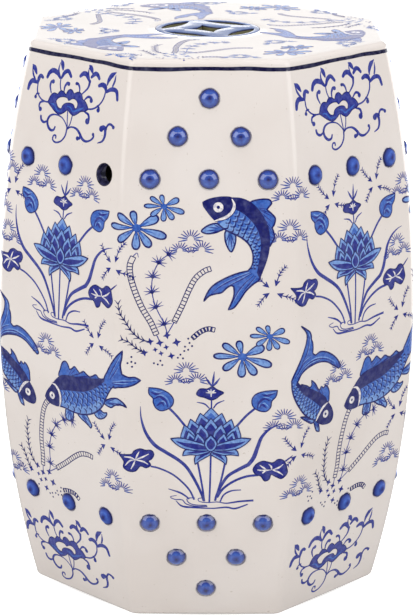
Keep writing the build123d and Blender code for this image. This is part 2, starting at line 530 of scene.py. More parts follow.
def cut_vent(rows, points, normals, out_faces, in_faces):
    """The vented panel: rings round the hole replace a window of the grid, right through the wall."""
    width, count = len(COLUMNS), len(points) // 2
    across = column_across(COLUMNS, half_flats(UPPER_BASE_LEVEL), ARRIS_RADIUS)
    low_column, high_column = lines_round(across, VENT_MIDDLE[0])
    low_row, high_row = lines_round([level for level, _ in rows], VENT_MIDDLE[1])
    kept = np.ones((len(rows) - 1, width - 1), bool)
    kept[low_row:high_row, low_column:high_column] = False
    out_faces = [quad for quad, keep in zip(out_faces, kept.flat) if keep]
    in_faces = [quad for quad, keep in zip(in_faces, kept.flat) if keep]
    circles = [ring(radius, VENT_SIDES) + VENT_MIDDLE for radius, _ in VENT_RINGS]
    rings = [barrel_points(VENT_FACE, *spots.T, lift) for spots, (_, lift) in zip(circles, VENT_RINGS)]
    numbers = len(points) + np.arange(len(rings) * VENT_SIDES).reshape(len(rings), -1)
    ring_normals = np.zeros((numbers.size, 3))
    ring_normals[:VENT_SIDES] = barrel_normals(VENT_FACE, *circles[0].T)
    window = window_loop(width, low_row, high_row, low_column, high_column)
    for base, end, faces in ((0, 0, out_faces), (count, -1, in_faces)):
        border = points[window + base]
        flat = np.stack([border @ face_along(VENT_FACE), border[:, 2]], axis=-1)
        triangles = fill_numbered([flat, circles[end]], np.concatenate([window + base, numbers[end]]))
        faces += (triangles[:, ::-1] if base else triangles).tolist()
    bore_faces = []
    for upper, lower in zip(numbers, numbers[1:]):
        bore_faces += band_faces(lower, upper)
    points, normals = np.concatenate([points, *rings]), np.concatenate([normals, ring_normals])
    return points, normals, out_faces, in_faces, bore_faces


# Seat slab

TOP_RINGS = 13
CRISP_ANGLE = 50
EASE_MIDDLE = 0.3


def seat_slab():
    """The seat: its rounded rim carries on the wall's side, and its top runs flat to the coin's hole."""
    rim_level = HEIGHT - RIM_ROUND
    rows = [(SEAT_UNDERSIDE, 0.0), (rim_level, 0.0)]
    rows += rounded_rows(rim_level, RIM_ROUND, np.linspace(0, 90, RIM_STEPS + 1)[1:])
    panels = [wall_grid(face, rows, ARRIS_RADIUS, COLUMNS[:-1]) for face in range(len(FACE_NAMES))]
    rings = [*np.concatenate(panels, axis=1)]
    top_edge = rings[-1][:, :2]
    spoke = unit(top_edge)
    hole, middle = COIN_RADIUS + COIN_GAP, COIN_EASE * EASE_MIDDLE
    for share in np.linspace(0, 1, TOP_RINGS + 1)[1:]:
        rings.append(at_level(top_edge * (1 - share) + spoke * (hole + COIN_EASE) * share, HEIGHT))
    rings.append(at_level(spoke * (hole + middle), HEIGHT - middle))
    rings += [at_level(spoke * hole, level) for level in (HEIGHT - COIN_EASE, SEAT_UNDERSIDE)]
    numbers = np.arange(len(rings) * len(spoke)).reshape(len(rings), -1)
    faces = []
    for low, high in zip(numbers, np.roll(numbers, -1, axis=0)):
        faces += band_faces(low, high)
    piece = make_piece("glazed_seat_slab", np.concatenate(rings), faces, [WHITE_GLAZE])
    sharpen(piece)
    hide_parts("seat_slab")


def sharpen(piece):
    """Edges that turn more than an angle keep a crisp shade."""
    piece.data.set_sharp_from_angle(angle=radians(CRISP_ANGLE))


# Coin medallion

COIN_SIDES, EYE_SIDES, HEART_SIDES = 160, 24, 14

# Materials up the pierced edges: bare clay, a nearly black band of pooled cobalt and painted shade, and the
# wash over the eased rim
PIERCED_MARKS = [BARE, POOLED_AND_SHADED, GLAZED, GLAZED]


def arc(start, middle, end, count):
    """Points of the arc through three points, without its last one."""
    x, y, radius = circle_through(start, middle, end)
    turns = [atan2(p[1] - y, p[0] - x) for p in (start, middle, end)]
    sweep = (turns[2] - turns[0]) % (2 * pi)
    if (turns[1] - turns[0]) % (2 * pi) > sweep:
        sweep -= 2 * pi
    turn = turns[0] + sweep * np.arange(count) / count
    return np.stack([x + radius * np.cos(turn), y + radius * np.sin(turn)], axis=-1)


def polar(radius, turn):
    """A point at a radius and a turn in degrees."""
    return radius * cos(radians(turn)), radius * sin(radians(turn))


def coin_loops():
    """Outlines of the coin: its rim, four eyes and the heart."""
    eyes, heart = [], []
    for quarter in range(0, 360, 90):
        start, middle, end = (COIN_TURN + quarter + step for step in (0, 45, 90))
        tip, other = polar(EYE_RIM, middle + EYE_SPREAD / 2), polar(EYE_RIM, middle - EYE_SPREAD / 2)
        rim_side = arc(other, polar(EYE_RIM, middle), tip, EYE_SIDES)
        heart_side = arc(tip, polar(EYE_RIM - EYE_DEPTH, middle), other, EYE_SIDES)
        eyes.append(np.concatenate([rim_side, heart_side]))
        corner, next_corner = polar(HEART_CORNER, start), polar(HEART_CORNER, end)
        heart.append(arc(corner, polar(HEART_WAIST, middle), next_corner, HEART_SIDES))
    return [ring(COIN_RADIUS, COIN_SIDES), *eyes, np.concatenate(heart)]


def inset_loop(loop, distance):
    """A closed loop moved to its left side by a distance, with short mitres."""
    ahead = unit(np.roll(loop, -1, axis=0) - loop)
    behind = np.roll(ahead, 1, axis=0)
    left = left_of(ahead) + left_of(behind)
    length = np.clip(np.sum(left**2, axis=1, keepdims=True), 1.0, None)
    return loop + left * 2 * distance / length


def coin_medallion():
    """The coin: pierced right through, with its edges eased under the glaze."""
    rim, *openings = coin_loops()
    loops = [inset_loop(rim, COIN_GAP), *[loop[::-1] for loop in openings]]
    cuts = np.cumsum([len(loop) for loop in loops])[:-1]
    middle = COIN_EASE * EASE_MIDDLE
    levels = [SEAT_UNDERSIDE, HEIGHT - COIN_POOL_AND_SHADE, HEIGHT - COIN_EASE, HEIGHT - middle, HEIGHT]
    layers = []
    for inset, level in zip((0.0, 0.0, 0.0, middle, COIN_EASE), levels):
        layers.append(at_level(np.concatenate([inset_loop(loop, inset) for loop in loops]), level))
    points = np.concatenate(layers)
    numbers = np.arange(len(points)).reshape(len(layers), -1)
    faces, marks = [], []
    for low, high, mark in zip(numbers, numbers[1:], PIERCED_MARKS):
        for loop, (lower, upper) in enumerate(zip(np.split(low, cuts), np.split(high, cuts))):
            faces += band_faces(lower, upper)
            marks += [mark if loop else GLAZED] * len(lower)
    for end, step, mark in ((0, -1, BARE), (-1, 1, GLAZED)):
        triangles = fill_numbered(np.split(layers[end][:, :2], cuts), numbers[end])
        faces += triangles[:, ::step].tolist()
        marks += [mark] * len(triangles)
    materials = [COIN_WASH, BARE_STONEWARE, POOLED_COBALT_AND_SHADE]
    piece = make_piece("glazed_coin_medallion", points, faces, materials, face_materials=marks)
    sharpen(piece)
    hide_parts("coin_medallion")


# Bosses

BOSS_SIDES, BOSS_RINGS = 28, 8
BOSS_TIERS = {
    "upper_triangle_tip_bosses": (TRIANGLE_FACES, TIP_PLACES, UPPER_TIP_LEVEL),
    "upper_triangle_mid_bosses": (TRIANGLE_FACES, MID_PLACES, UPPER_MID_LEVEL),
    "upper_triangle_base_bosses": (TRIANGLE_FACES, BASE_PLACES, UPPER_BASE_LEVEL),
    "upper_row_bosses": (ROW_FACES, ROW_PLACES, UPPER_BASE_LEVEL),
    "lower_row_bosses": (ROW_FACES, ROW_PLACES, LOWER_BASE_LEVEL),
    "lower_triangle_base_bosses": (TRIANGLE_FACES, BASE_PLACES, LOWER_BASE_LEVEL),
    "lower_triangle_mid_bosses": (TRIANGLE_FACES, MID_PLACES, LOWER_MID_LEVEL),
    "lower_triangle_tip_bosses": (TRIANGLE_FACES, TIP_PLACES, LOWER_TIP_LEVEL),
}

# Rings of a boss's luted edge, from just inside the wall: radius and height
LUTED_RADIUS = BOSS_RADIUS + 0.7
LUTED_RINGS = [(LUTED_RADIUS, -0.4), (LUTED_RADIUS, 0.03), (BOSS_RADIUS + 0.2, 0.35)]
DOME_START = 0.08


def dome_profile():
    """Radius and height of a boss's rings, over the luted edge and up to the crown, which is the last."""
    dome = (BOSS_RADIUS**2 + BOSS_HEIGHT**2) / (2 * BOSS_HEIGHT)
    lowest = atan2(BOSS_HEIGHT - dome, BOSS_RADIUS)
    rings = list(LUTED_RINGS)
    for share in np.linspace(DOME_START, 1, BOSS_RINGS)[:-1]:
        turn = lowest + (pi / 2 - lowest) * share
        rings.append((dome * cos(turn), BOSS_HEIGHT - dome + dome * sin(turn)))
    return rings


def boss_dome():
    """Points of a boss that stands on its own axis, its faces, and how far out each point lies."""
    rings = dome_profile()
    numbers = np.arange(len(rings) * BOSS_SIDES).reshape(len(rings), -1)
    points = [at_level(ring(radius, BOSS_SIDES), height) for radius, height in rings]
    points.append([(0, 0, BOSS_HEIGHT)])
    reach = np.repeat([radius / LUTED_RADIUS for radius, _ in rings], BOSS_SIDES)
    faces = []
    for low, high in zip(numbers, numbers[1:]):
        faces += band_faces(low, high)
    faces += [[a, b, numbers.size] for a, b in zip(numbers[-1], np.roll(numbers[-1], -1))]
    faces.append(numbers[0, ::-1])
    return np.concatenate(points), faces, np.append(reach, 0.0)


def boss_tier(name, faces, places, level):
    """Domes of one tier, each square to its face."""
    dome, dome_faces, reach = boss_dome()
    points, polygons = [], []
    for face in faces:
        for across in places:
            if face == VENT_FACE and (across, level) == VENT_MIDDLE:
                continue
            start = len(points) * len(dome)
            along, out = face_along(face), barrel_normals(face, across, level)
            axes = np.stack([along, np.cross(out, along), out])
            points.append(barrel_points(face, across, level) + dome @ axes)
            polygons += [[start + int(number) for number in polygon] for polygon in dome_faces]
    glaze = DULL_BOSS_GLAZE if faces == ROW_FACES else BOSS_GLAZE
    piece = make_piece(f"glazed_{name}", np.concatenate(points), polygons, [glaze])
    keep_on_points(piece, "reach", "FLOAT", "value", np.tile(reach, len(points)))
    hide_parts(name)


for face in range(len(FACE_NAMES)):
    wall_panel(face)
seat_slab()
coin_medallion()
for tier, carriers in BOSS_TIERS.items():
    boss_tier(tier, *carriers)
foot_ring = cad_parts["foot_ring"]
foot_ring.data.materials.clear()
foot_ring.data.materials.append(BARE_STONEWARE)


# Painted decoration
# It is drawn flat, in millimetres, and laid on the glaze as thin closed films: ribbons and patches.
# Each shape has an ink and a level, and a higher level lies over a lower one.

INKS = {
    "rim": srgb(12, 8, 58),
    "line": srgb(10, 18, 104),
    "deep": srgb(26, 36, 136),
    "stem": srgb(48, 58, 150),
    "mid": srgb(56, 104, 192),
    "light": srgb(122, 162, 222),
    "pale": srgb(172, 190, 228),
    "bare": srgb(240, 234, 230),
}
FILM_BASE, FILM_STEP, FILM_ROOT = 0.05, 0.014, -0.06
STROKE_SPACING, PATCH_SPACING = 1.5, (5.0, 5.0)
ARRIS_SPACING, ARRIS_PATCH_SPACING = 0.9, (1.08, 3.0)
ARRIS_NEAR, SEAT_RIM_NEAR = 1.0, 120.0
LEAST_HALF_WIDTH = 0.07


def smooth(points, closed=False):
    """Points along a curve through the given ones. A point given twice makes a corner."""
    p = np.array(points, float)
    if closed:
        knots = np.concatenate([p[-1:], p, p[:2]])
    else:
        knots = np.concatenate([2 * p[:1] - p[1:2], p, 2 * p[-1:] - p[-2:-1]])
    curve = []
    for a, b, c, d in zip(knots, knots[1:], knots[2:], knots[3:]):
        length = np.linalg.norm(c - b)
        if length > 0:
            count = max(3, ceil(length / STROKE_SPACING))
            t = np.arange(count)[:, None] / count
            bend = (2 * a - 5 * b + 4 * c - d) * t**2 + (3 * b - a - 3 * c + d) * t**3
            curve.append(b + ((c - a) * t + bend) / 2)
    if not closed:
        curve.append(p[-1:])
    return np.concatenate(curve)


def curve_run(curve):
    """Length of a curve up to each of its points."""
    steps = np.linalg.norm(np.diff(curve, axis=0), axis=1)
    return np.concatenate([[0], np.cumsum(steps)])


def points_at(curve, run, spots):
    """Points of a curve at spots along its run."""
    return np.stack([np.interp(spots, run, curve[:, axis]) for axis in (0, 1)], axis=-1)


def at_share(curve, share):
    """Points at shares of a curve's length."""
    run = curve_run(curve)
    return points_at(curve, run / run[-1], share)


def leftward(curve):
    """Unit vectors to the left of a curve."""
    return left_of(unit(np.gradient(curve, axis=0) + 1e-9))


def heading_of(vector):
    """Direction of a flat vector, in degrees."""
    return degrees(atan2(vector[1], vector[0]))


class Drawing:
    """Shapes of a motif, each a ribbon or a patch with its ink and level."""

    def __init__(self):
        self.shapes = []

    def stroke(self, points, width, ink, level, closed=False, round_ends=False):
        """A brush stroke. A list of widths is spread evenly along it."""
        curve = smooth(points, closed)
        if closed:
            curve = np.concatenate([curve, curve[:1]])
        widths = np.atleast_1d(np.asarray(width, float))
        run = curve_run(curve)
        half = np.interp(run / run[-1], np.linspace(0, 1, len(widths)), widths) / 2
        left = leftward(curve)
        if closed:
            left[0] = left[-1] = unit(left[0] + left[-1])
        if round_ends:
            ahead = -left_of(left)
            turn = np.radians([85, 60, 30])
            tail = [curve[:1] - ahead[:1] * half[0] * np.sin(t) for t in turn]
            nose = [curve[-1:] + ahead[-1:] * half[-1] * np.sin(t) for t in turn[::-1]]
            curve = np.concatenate([*tail, curve, *nose])
            half = np.concatenate([half[0] * np.cos(turn), half, half[-1] * np.cos(turn[::-1])])
            left = np.concatenate([left[:1]] * len(tail) + [left] + [left[-1:]] * len(nose))
        half = np.maximum(half, LEAST_HALF_WIDTH)[:, None]
        self.shapes.append((ink, level, "ribbon", [curve + left * half, curve - left * half]))

    def patch(self, points, ink, level, holes=(), sharp=False):
        """A filled outline, with any holes left open."""
        loops = [np.array(p, float) if sharp else smooth(p, True) for p in (points, *holes)]
        self.shapes.append((ink, level, "patch", loops))

    def dot(self, centre, radius, ink, level, sides=12):
        """A round dab."""
        self.shapes.append((ink, level, "patch", [ring(radius, sides) + np.array(centre)]))

    def outlined(self, points, ink, level, width):
        """A patch with a drawn outline."""
        self.patch(points, ink, level)
        self.stroke(points, width, "line", level + 1, closed=True)

    def add(self, other, at=(0, 0), turn=0.0, size=1.0, flip=False, raised=0, inks=None):
        """Another drawing: scaled, mirrored, turned in degrees and moved, with any change of inks."""
        along = np.array(polar(size, turn))
        upward = left_of(along)
        if flip:
            along = -along
        for ink, level, kind, loops in other.shapes:
            moved = [p[:, :1] * along + p[:, 1:] * upward + np.array(at) for p in loops]
            if flip and kind == "ribbon":
                moved = moved[::-1]
            self.shapes.append(((inks or {}).get(ink, ink), level + raised, kind, moved))


def needles(drawing, base, heading, length, count=11, spread=100):
    """A fan of fine pine needles round a bare heart, longest at its sides."""
    base = np.array(base, float)
    for i, turn in enumerate(np.linspace(-spread, spread, count)):
        way = np.array(polar(length, heading + turn))
        tip = way * (0.72 + 0.28 * abs(turn) / 100) * (0.92 + 0.08 * (i % 2))
        drawing.stroke([base + way * 0.24, base + tip], [0.6, 0.9, 0.5], "stem", 2)
        if abs(turn) > 50:
            drawing.stroke([base + way * 0.26, base + tip * 0.8], [0.6, 1.5, 0.6], "pale", 1)


def tuft():
    """A clump of needle fans: one standing on two, and a small one in their midst."""
    motif = Drawing()
    needles(motif, (-0.5, 1.4), 92, 10.4)
    needles(motif, (-0.4, -10.5), 88, 8.0, 5, 48)
    needles(motif, (-8.8, -7.6), 98, 9.0)
    needles(motif, (8.0, -7.0), 84, 10.0)
    return motif


def feather(drawing, path, spacing, barb, width, spread=42, ink="line", start=0.12):
    """A stem with pairs of short barbs that point along it."""
    curve = smooth(path)
    drawing.stroke(path, [width * 1.2, width * 0.7], ink, 3)
    for share in np.arange(start, 1.0, spacing / curve_run(curve)[-1]):
        root, before, after = at_share(curve, [share, share - 0.04, min(share + 0.04, 1.0)])
        heading = heading_of(after - before)
        for side in (-1, 1):
            tip = root + polar(barb, heading + side * spread)
            middle = (root + tip) / 2 + polar(barb * 0.08, heading)
            drawing.stroke([root, middle, tip], [width * 1.3, 0.3], ink, 3)


def sprig():
    """Four feathered darts that point at one middle."""
    motif = Drawing()
    for path in (
        [(2, 3.5), (3.5, 9), (6, 15), (10.5, 20)],
        [(-2.8, 2.5), (-7, 6), (-11, 10), (-14, 14)],
        [(-2.5, -1.5), (-6, -4), (-9, -8), (-12, -12.5)],
        [(3, -2), (8, -4), (13, -5), (17.5, -7.5)],
    ):
        tip = np.array(path[0])
        ahead = unit(np.array(path[1]) - tip)
        head = [(0, 0), (0, 0), (3, 1.5), (5.2, 2.2), (4.2, 0), (5.2, -2.2), (3, -1.5)]
        motif.patch([tip + ahead * along + left_of(ahead) * across for along, across in head], "deep", 3)
        feather(motif, [tip + ahead * 3, *path[1:]], 2.6, 2.8, 0.75, 50, "deep", 0.35)
    return motif


def ladder(drawing, path, width, lead=None, full=False):
    """A jointed water stem: two edges and close rungs, bare or full, with any thin lead to its root."""
    curve = smooth(path)
    left = leftward(curve) * width / 2
    rungs = np.stack([curve + left, curve - left], axis=1)
    thin, bold, spacing = 0.7, 1.7, 2.8
    for side in (0, 1):
        drawing.stroke(rungs[:, side], thin, "line", 2)
    for end in (0, -1):
        drawing.stroke(rungs[end], thin, "line", 3)
    for share in np.arange(0.05, 0.97, spacing / curve_run(curve)[-1]):
        drawing.stroke(rungs[int(share * (len(curve) - 1))], bold if full else thin, "line", 3)
    if lead:
        drawing.stroke([*lead, path[0]], 0.8, "stem", 2)


def whorl(drawing, centre, heading):
    """A star of bristles on a water stem."""
    for turn, reach in ((-100, 6), (-72, 6.5), (-38, 6), (0, 5.5), (38, 6), (72, 6.5), (100, 6)):
        drawing.stroke([centre, np.array(centre) + polar(reach, heading + turn)], [1.3, 0.25], "stem", 3)
    drawing.dot(centre, 1.5, "line", 4)


def star(drawing, centre, size):
    """A small four-pointed star."""
    points = [np.array(centre) + polar(size if i % 2 == 0 else size * 0.45, 45 * i + 12) for i in range(8)]
    drawing.patch(points, "deep", 3, sharp=True)


def weeds():
    """Water plants that rise from one root, with scattered stars and dots round it."""
    motif = Drawing()
    ladder(motif, [(-8.5, 0), (-13, 10), (-19.5, 21), (-25, 34), (-28.5, 46), (-29, 55), (-26.5, 61.5)],
           4.2, [(-6, -5.5)])
    motif.stroke([(-26.5, 62), (-23.5, 64.5), (-22.5, 61)], [0.8, 0.4], "stem", 3)
    ladder(motif, [(5, 10), (11.5, 24), (16.5, 36), (21.5, 45), (28, 50.5), (33, 52.5)], 3.8, [(0, 1)])
    ladder(motif, [(19.5, -2.5), (25, 2.2), (31, 4.8), (36.5, 4)], 3.6, full=True)
    stem = [(0, 0), (-2.5, 8.5), (-9, 22), (-12, 34), (-11.5, 46), (-7, 57), (0.5, 63.5)]
    motif.stroke(stem, 0.8, "stem", 2)
    for before, spot in zip(stem, stem[1:]):
        whorl(motif, spot, heading_of(np.subtract(spot, before)))
    feather(motif, [(-13, -6), (-21, -3.5), (-28, 3), (-33, 11), (-37, 17), (-38.5, 24)], 4.6, 4.6, 0.85)
    feather(motif, [(-17.5, -14.5), (-24, -11), (-30, -6), (-36, -3.5)], 4.4, 4.2, 0.85)
    for spot in ((-13.5, -5.5), (-18, -14.5), (-6, -6.5), (-0.5, -0.5)):
        star(motif, spot, 3.2)
    for spot, size in (((7, -6), 3.6), ((-1, -10), 2.4), ((-9.5, -12), 2.2), ((-5, -15), 2.3),
                       ((3, -17), 3.0)):
        star(motif, spot, size)
    for spot in (
        (16, -3), (17, -6.5), (13.5, -9.5), (19, -9), (16, -12), (13, -13), (10, -16), (8, -18.5), (12, -19),
        (-31, -23), (-28, -22), (-25, -23), (-27.5, -26), (-28, -18), (-10.5, -23), (-7.5, -24),
        (-5.5, -21), (-4, -24.5),
    ):
        motif.dot(spot, 0.85, "line", 2, 7)
    return motif


def petal(drawing, tip, width):
    """A round-ended petal from a hub, pale with a dark outline."""
    length, half = np.hypot(*tip), width / 2
    edge = [(0.4 * length, 0.62 * half), (0.78 * length, half), (0.96 * length, 0.6 * half)]
    bow = [*edge, (length, 0), *[(x, -y) for x, y in reversed(edge)]]
    root = (0.12 * length, 0)
    motif = Drawing()
    motif.patch([(1.2, 0), *bow], "light", 2)
    motif.stroke([root, *bow, root], [0.3, 1.0, 1.5, 1.0, 0.3], "line", 4)
    motif.stroke([(0.5, 0), (0.35 * length, 0), (0.6 * length, 0)], [half * 0.9, half * 0.6, 0.2], "mid", 3)
    drawing.add(motif, turn=heading_of(tip))


def daisy():
    """An eight-petalled flower, wider than it is high."""
    motif = Drawing()
    for tip, width in (
        ((-15, 10), 5), ((-3, 12.5), 5), ((16.5, 8), 6.5), ((22.5, -7), 6), ((10.5, -14.5), 6),
        ((-0.5, -16.5), 6), ((-14.5, -10.5), 5.5), ((-22, 0.5), 4.5),
    ):
        petal(motif, tip, width)
    motif.dot((0, 0), 3.0, "mid", 5)
    return motif


def daisy_pair():
    """A large flower with a smaller one at its shoulder."""
    motif = Drawing()
    motif.add(daisy())
    motif.add(daisy(), (21, 16.5), size=0.68, raised=5)
    return motif


def fin(drawing, outline, ink="light", rays=4):
    """A carp's fin: a wash, rays with mid-toned roots, and an outline."""
    drawing.patch(outline, ink, 1)
    edge = smooth(outline)
    root = (edge[0] + edge[-1]) / 2
    for ray in at_share(edge, np.linspace(0.28, 0.72, rays)) - root:
        drawing.stroke([root + ray * 0.05, root + ray * 0.7], [2.4, 0.5], "mid", 2)
        drawing.stroke([root + ray * 0.3, root + ray * 0.92], [0.3, 0.75, 0.2], "deep", 3)
    drawing.stroke(outline, 1.25, "line", 4, closed=True)


def scales(drawing, upper, lower, rows, columns):
    """Rows of curved scale edges between two lines of a carp's side, each with a pale lip."""
    for column in range(columns):
        for row in range(rows):
            share = (column + 0.8 + 0.5 * (row % 2)) / (columns + 1)
            top, bottom = at_share(upper, share), at_share(lower, share)
            gap = np.linalg.norm(bottom - top) / rows
            spot = top + (bottom - top) * (row + 0.7) / (rows + 0.3)
            down = unit(bottom - top)
            ahead = left_of(down)
            size = min(2.9, gap * 0.56)
            bow = [spot - down * size, spot + ahead * size * 0.75, spot + down * size]
            drawing.stroke(bow, [0.5, 1.4, 0.5], "line", 8)
            drawing.stroke([p - ahead * 1.45 for p in bow], [0.2, 1.0, 0.2], "light", 9)


def carp(back, band, belly, head, gill, eye, dorsal, fins, tail, rays):
    """A carp: scaled side, dark back, capped head, fins and a forked tail."""
    motif = Drawing()
    fin(motif, dorsal, "mid", 9)
    for outline in fins:
        fin(motif, outline)
    motif.patch(tail, "mid", 1)
    for ray in rays:
        motif.stroke(np.array(ray) + (0.9, 0.9), [0.4, 1.5, 0.4], "light", 2)
        motif.stroke(ray, [0.4, 1.2, 0.3], "deep", 3)
    motif.stroke(tail, 1.3, "line", 4, closed=True)
    motif.patch([back[0], *back, back[-1], belly[-1], *belly[::-1], belly[0]], "mid", 5)
    motif.patch([back[0], *back, back[-1], band[-1], *band[::-1], band[0]], "line", 7)
    flank, keel = smooth(band), smooth(belly)
    shares = np.linspace(0.04, 0.7, 9)
    low = at_share(keel, shares)
    motif.patch([*(at_share(flank, shares) * 0.35 + low * 0.65), *low[::-1]], "light", 6)
    scales(motif, flank, keel, 4, 10)
    motif.stroke(back, [1.4, 1.4, 1.0], "line", 10)
    motif.stroke(belly, [1.2, 1.4, 1.0], "line", 10)
    motif.patch(head, "line", 11)
    motif.stroke(head, 1.2, "line", 12, closed=True)
    motif.stroke(gill, [1.4, 3.6, 3.6, 3.4, 1.6], "line", 13)
    motif.stroke(gill, [0.7, 2.3, 2.3, 2.1, 0.7], "bare", 14)
    centre, radius = eye
    motif.dot(centre, radius + 0.8, "line", 13, 20)
    motif.dot(centre, radius, "bare", 14, 20)
    motif.dot(centre, radius * 0.34, "line", 15, 10)
    return motif


def leaping_carp():
    """A carp that leaps up and to the left, its tail curled under it."""
    return carp(
        back=[(17, 353.5), (24, 353), (31, 350), (36.5, 345), (41, 338.5), (44.3, 331), (45.7, 322),
              (45, 312), (43, 304), (40.5, 297), (38.5, 291.5)],
        band=[(19.5, 345), (26, 341.5), (31.5, 336.5), (36, 330.5), (38.7, 323), (39.3, 316), (38.5, 309),
              (37.5, 302), (36.5, 296)],
        belly=[(5.5, 334.5), (11, 330), (17, 326.8), (24, 323.5), (29.5, 319), (32.7, 313), (33.5, 307),
               (32.5, 301.5), (29.5, 297.5)],
        head=[(-5.2, 350.3), (-5.2, 350.3), (-1, 352.3), (4, 353.6), (10, 354.3), (16.5, 353.6), (18, 349),
              (16.8, 344), (12.5, 340), (7, 337.6), (4.3, 336.8), (1, 340), (-2.5, 344.5), (-4.6, 347.5)],
        gill=[(16.8, 353), (18.7, 348.5), (17.2, 343.3), (12.3, 339), (3.8, 336.2)],
        eye=((6.5, 346.6), 3.9),
        dorsal=[(31, 350), (38, 352.6), (45, 352.6), (47.2, 350), (45.5, 347.5), (43.5, 345), (43.5, 345),
                (47, 342), (50, 338.5), (49.5, 334), (47.8, 331), (47.8, 331), (49, 327.5), (49.7, 324),
                (48, 320), (45.6, 316.5), (45.4, 324), (43, 334), (38, 343)],
        fins=[
            [(11, 330.5), (8, 334), (2, 333.8), (-3, 331.5), (-6.3, 328.2), (-2, 326.3), (4, 327), (9, 329)],
            [(19, 326), (20, 321.5), (18.8, 316), (16.7, 312.3), (14, 315.5), (11.8, 322), (12.5, 328.5)],
        ],
        tail=[(30, 297.5), (20, 295), (10, 290.5), (2.5, 285.5), (-1.5, 280), (-4.2, 273.6), (-4.2, 273.6),
              (0, 277.8), (5, 279.5), (9.5, 280.5), (13, 283.8), (16.5, 286), (18.8, 285.2), (18.8, 285.2),
              (19.2, 279.5), (17.8, 274), (14.8, 267), (14.8, 267), (19, 268.5), (23.5, 274.5), (28, 281.5),
              (33.5, 287), (39, 291.5), (36, 297)],
        rays=[
            [(32, 296.5), (20, 291.5), (8, 285), (-1, 277)], [(33, 296), (24, 290.5), (14, 285.5)],
            [(35, 295), (28, 288.5), (22, 281), (17.5, 271.5)], [(36, 293.5), (31, 287.5), (25, 280)],
        ],
    )


def swimming_carp():
    """A carp that swims to the left, its tail lifted."""
    return carp(
        back=[(-7, 188.7), (-3, 193), (3, 197.5), (10, 199.3), (20, 200.3), (30, 201.8), (40, 203.8),
              (48, 205.5), (54, 207.5)],
        band=[(0.5, 185), (10, 187), (20, 188.7), (29, 190.5), (38, 194.3), (46, 199), (53.5, 205)],
        belly=[(-0.5, 171.2), (6, 171.2), (15, 170.2), (25, 170.5), (35, 173), (44, 177.8), (51, 184.5),
               (55.5, 192.5), (60, 199.5), (64.5, 204)],
        head=[(-17.2, 175.5), (-17.2, 175.5), (-14.5, 180.5), (-10, 185.5), (-7.5, 188), (-3, 186.5),
              (-0.8, 182), (-0.3, 176.5), (-1.5, 171.3), (-8, 170.8), (-14, 172.2)],
        gill=[(-8, 188.8), (-4, 188), (0, 183.5), (1, 177), (-0.3, 171)],
        eye=((-8.8, 178.4), 3.1),
        dorsal=[(1, 196.5), (2.5, 204), (5, 209.5), (8.5, 211.2), (11.5, 209), (13, 205.3), (13, 205.3),
                (16, 206.8), (19, 209.2), (22, 207.3), (25, 205), (25, 205), (29.5, 207.6), (33, 206),
                (37, 204.4), (37, 204.4), (41, 206.8), (44, 208.2), (47.5, 206), (53, 206), (40, 203),
                (20, 199.8)],
        fins=[
            [(7.5, 171), (6, 166), (6.2, 162.8), (9.5, 161.3), (14.2, 162), (15.3, 166), (15, 170.8)],
            [(20.5, 170.6), (24, 167), (30, 164.3), (35.2, 161.2), (35.2, 161.2), (36.7, 163.8), (34, 167.8),
             (30.5, 171.4)],
            [(41, 176), (42, 173.2), (46, 172), (51, 173.7), (54.5, 177), (55.2, 179.3), (55.2, 179.3),
             (51, 178.4), (47.5, 179.8)],
            [(54, 189), (60, 192.3), (67, 194), (72, 191.2), (75, 187), (75, 187), (70, 189.3), (64.5, 187.8),
             (60, 185), (53, 186.3)],
        ],
        tail=[(53.5, 206.5), (57, 214), (62, 222), (67.5, 228.8), (72.5, 233.6), (72.5, 233.6), (72, 227.5),
              (70.8, 221.5), (72, 214.5), (72, 214.5), (77, 212), (82, 212), (86.5, 209.6), (86.5, 209.6),
              (82, 206.3), (76, 204.2), (69, 203.6), (63, 202.5)],
        rays=[
            [(58, 208), (62, 215.5), (66.5, 222.5), (70.5, 229)], [(60, 208), (65, 214.5), (69, 220)],
            [(62, 206.5), (70, 208), (77, 208.3), (83, 208.8)], [(62, 205.5), (69, 205.8), (76, 206)],
        ],
    )


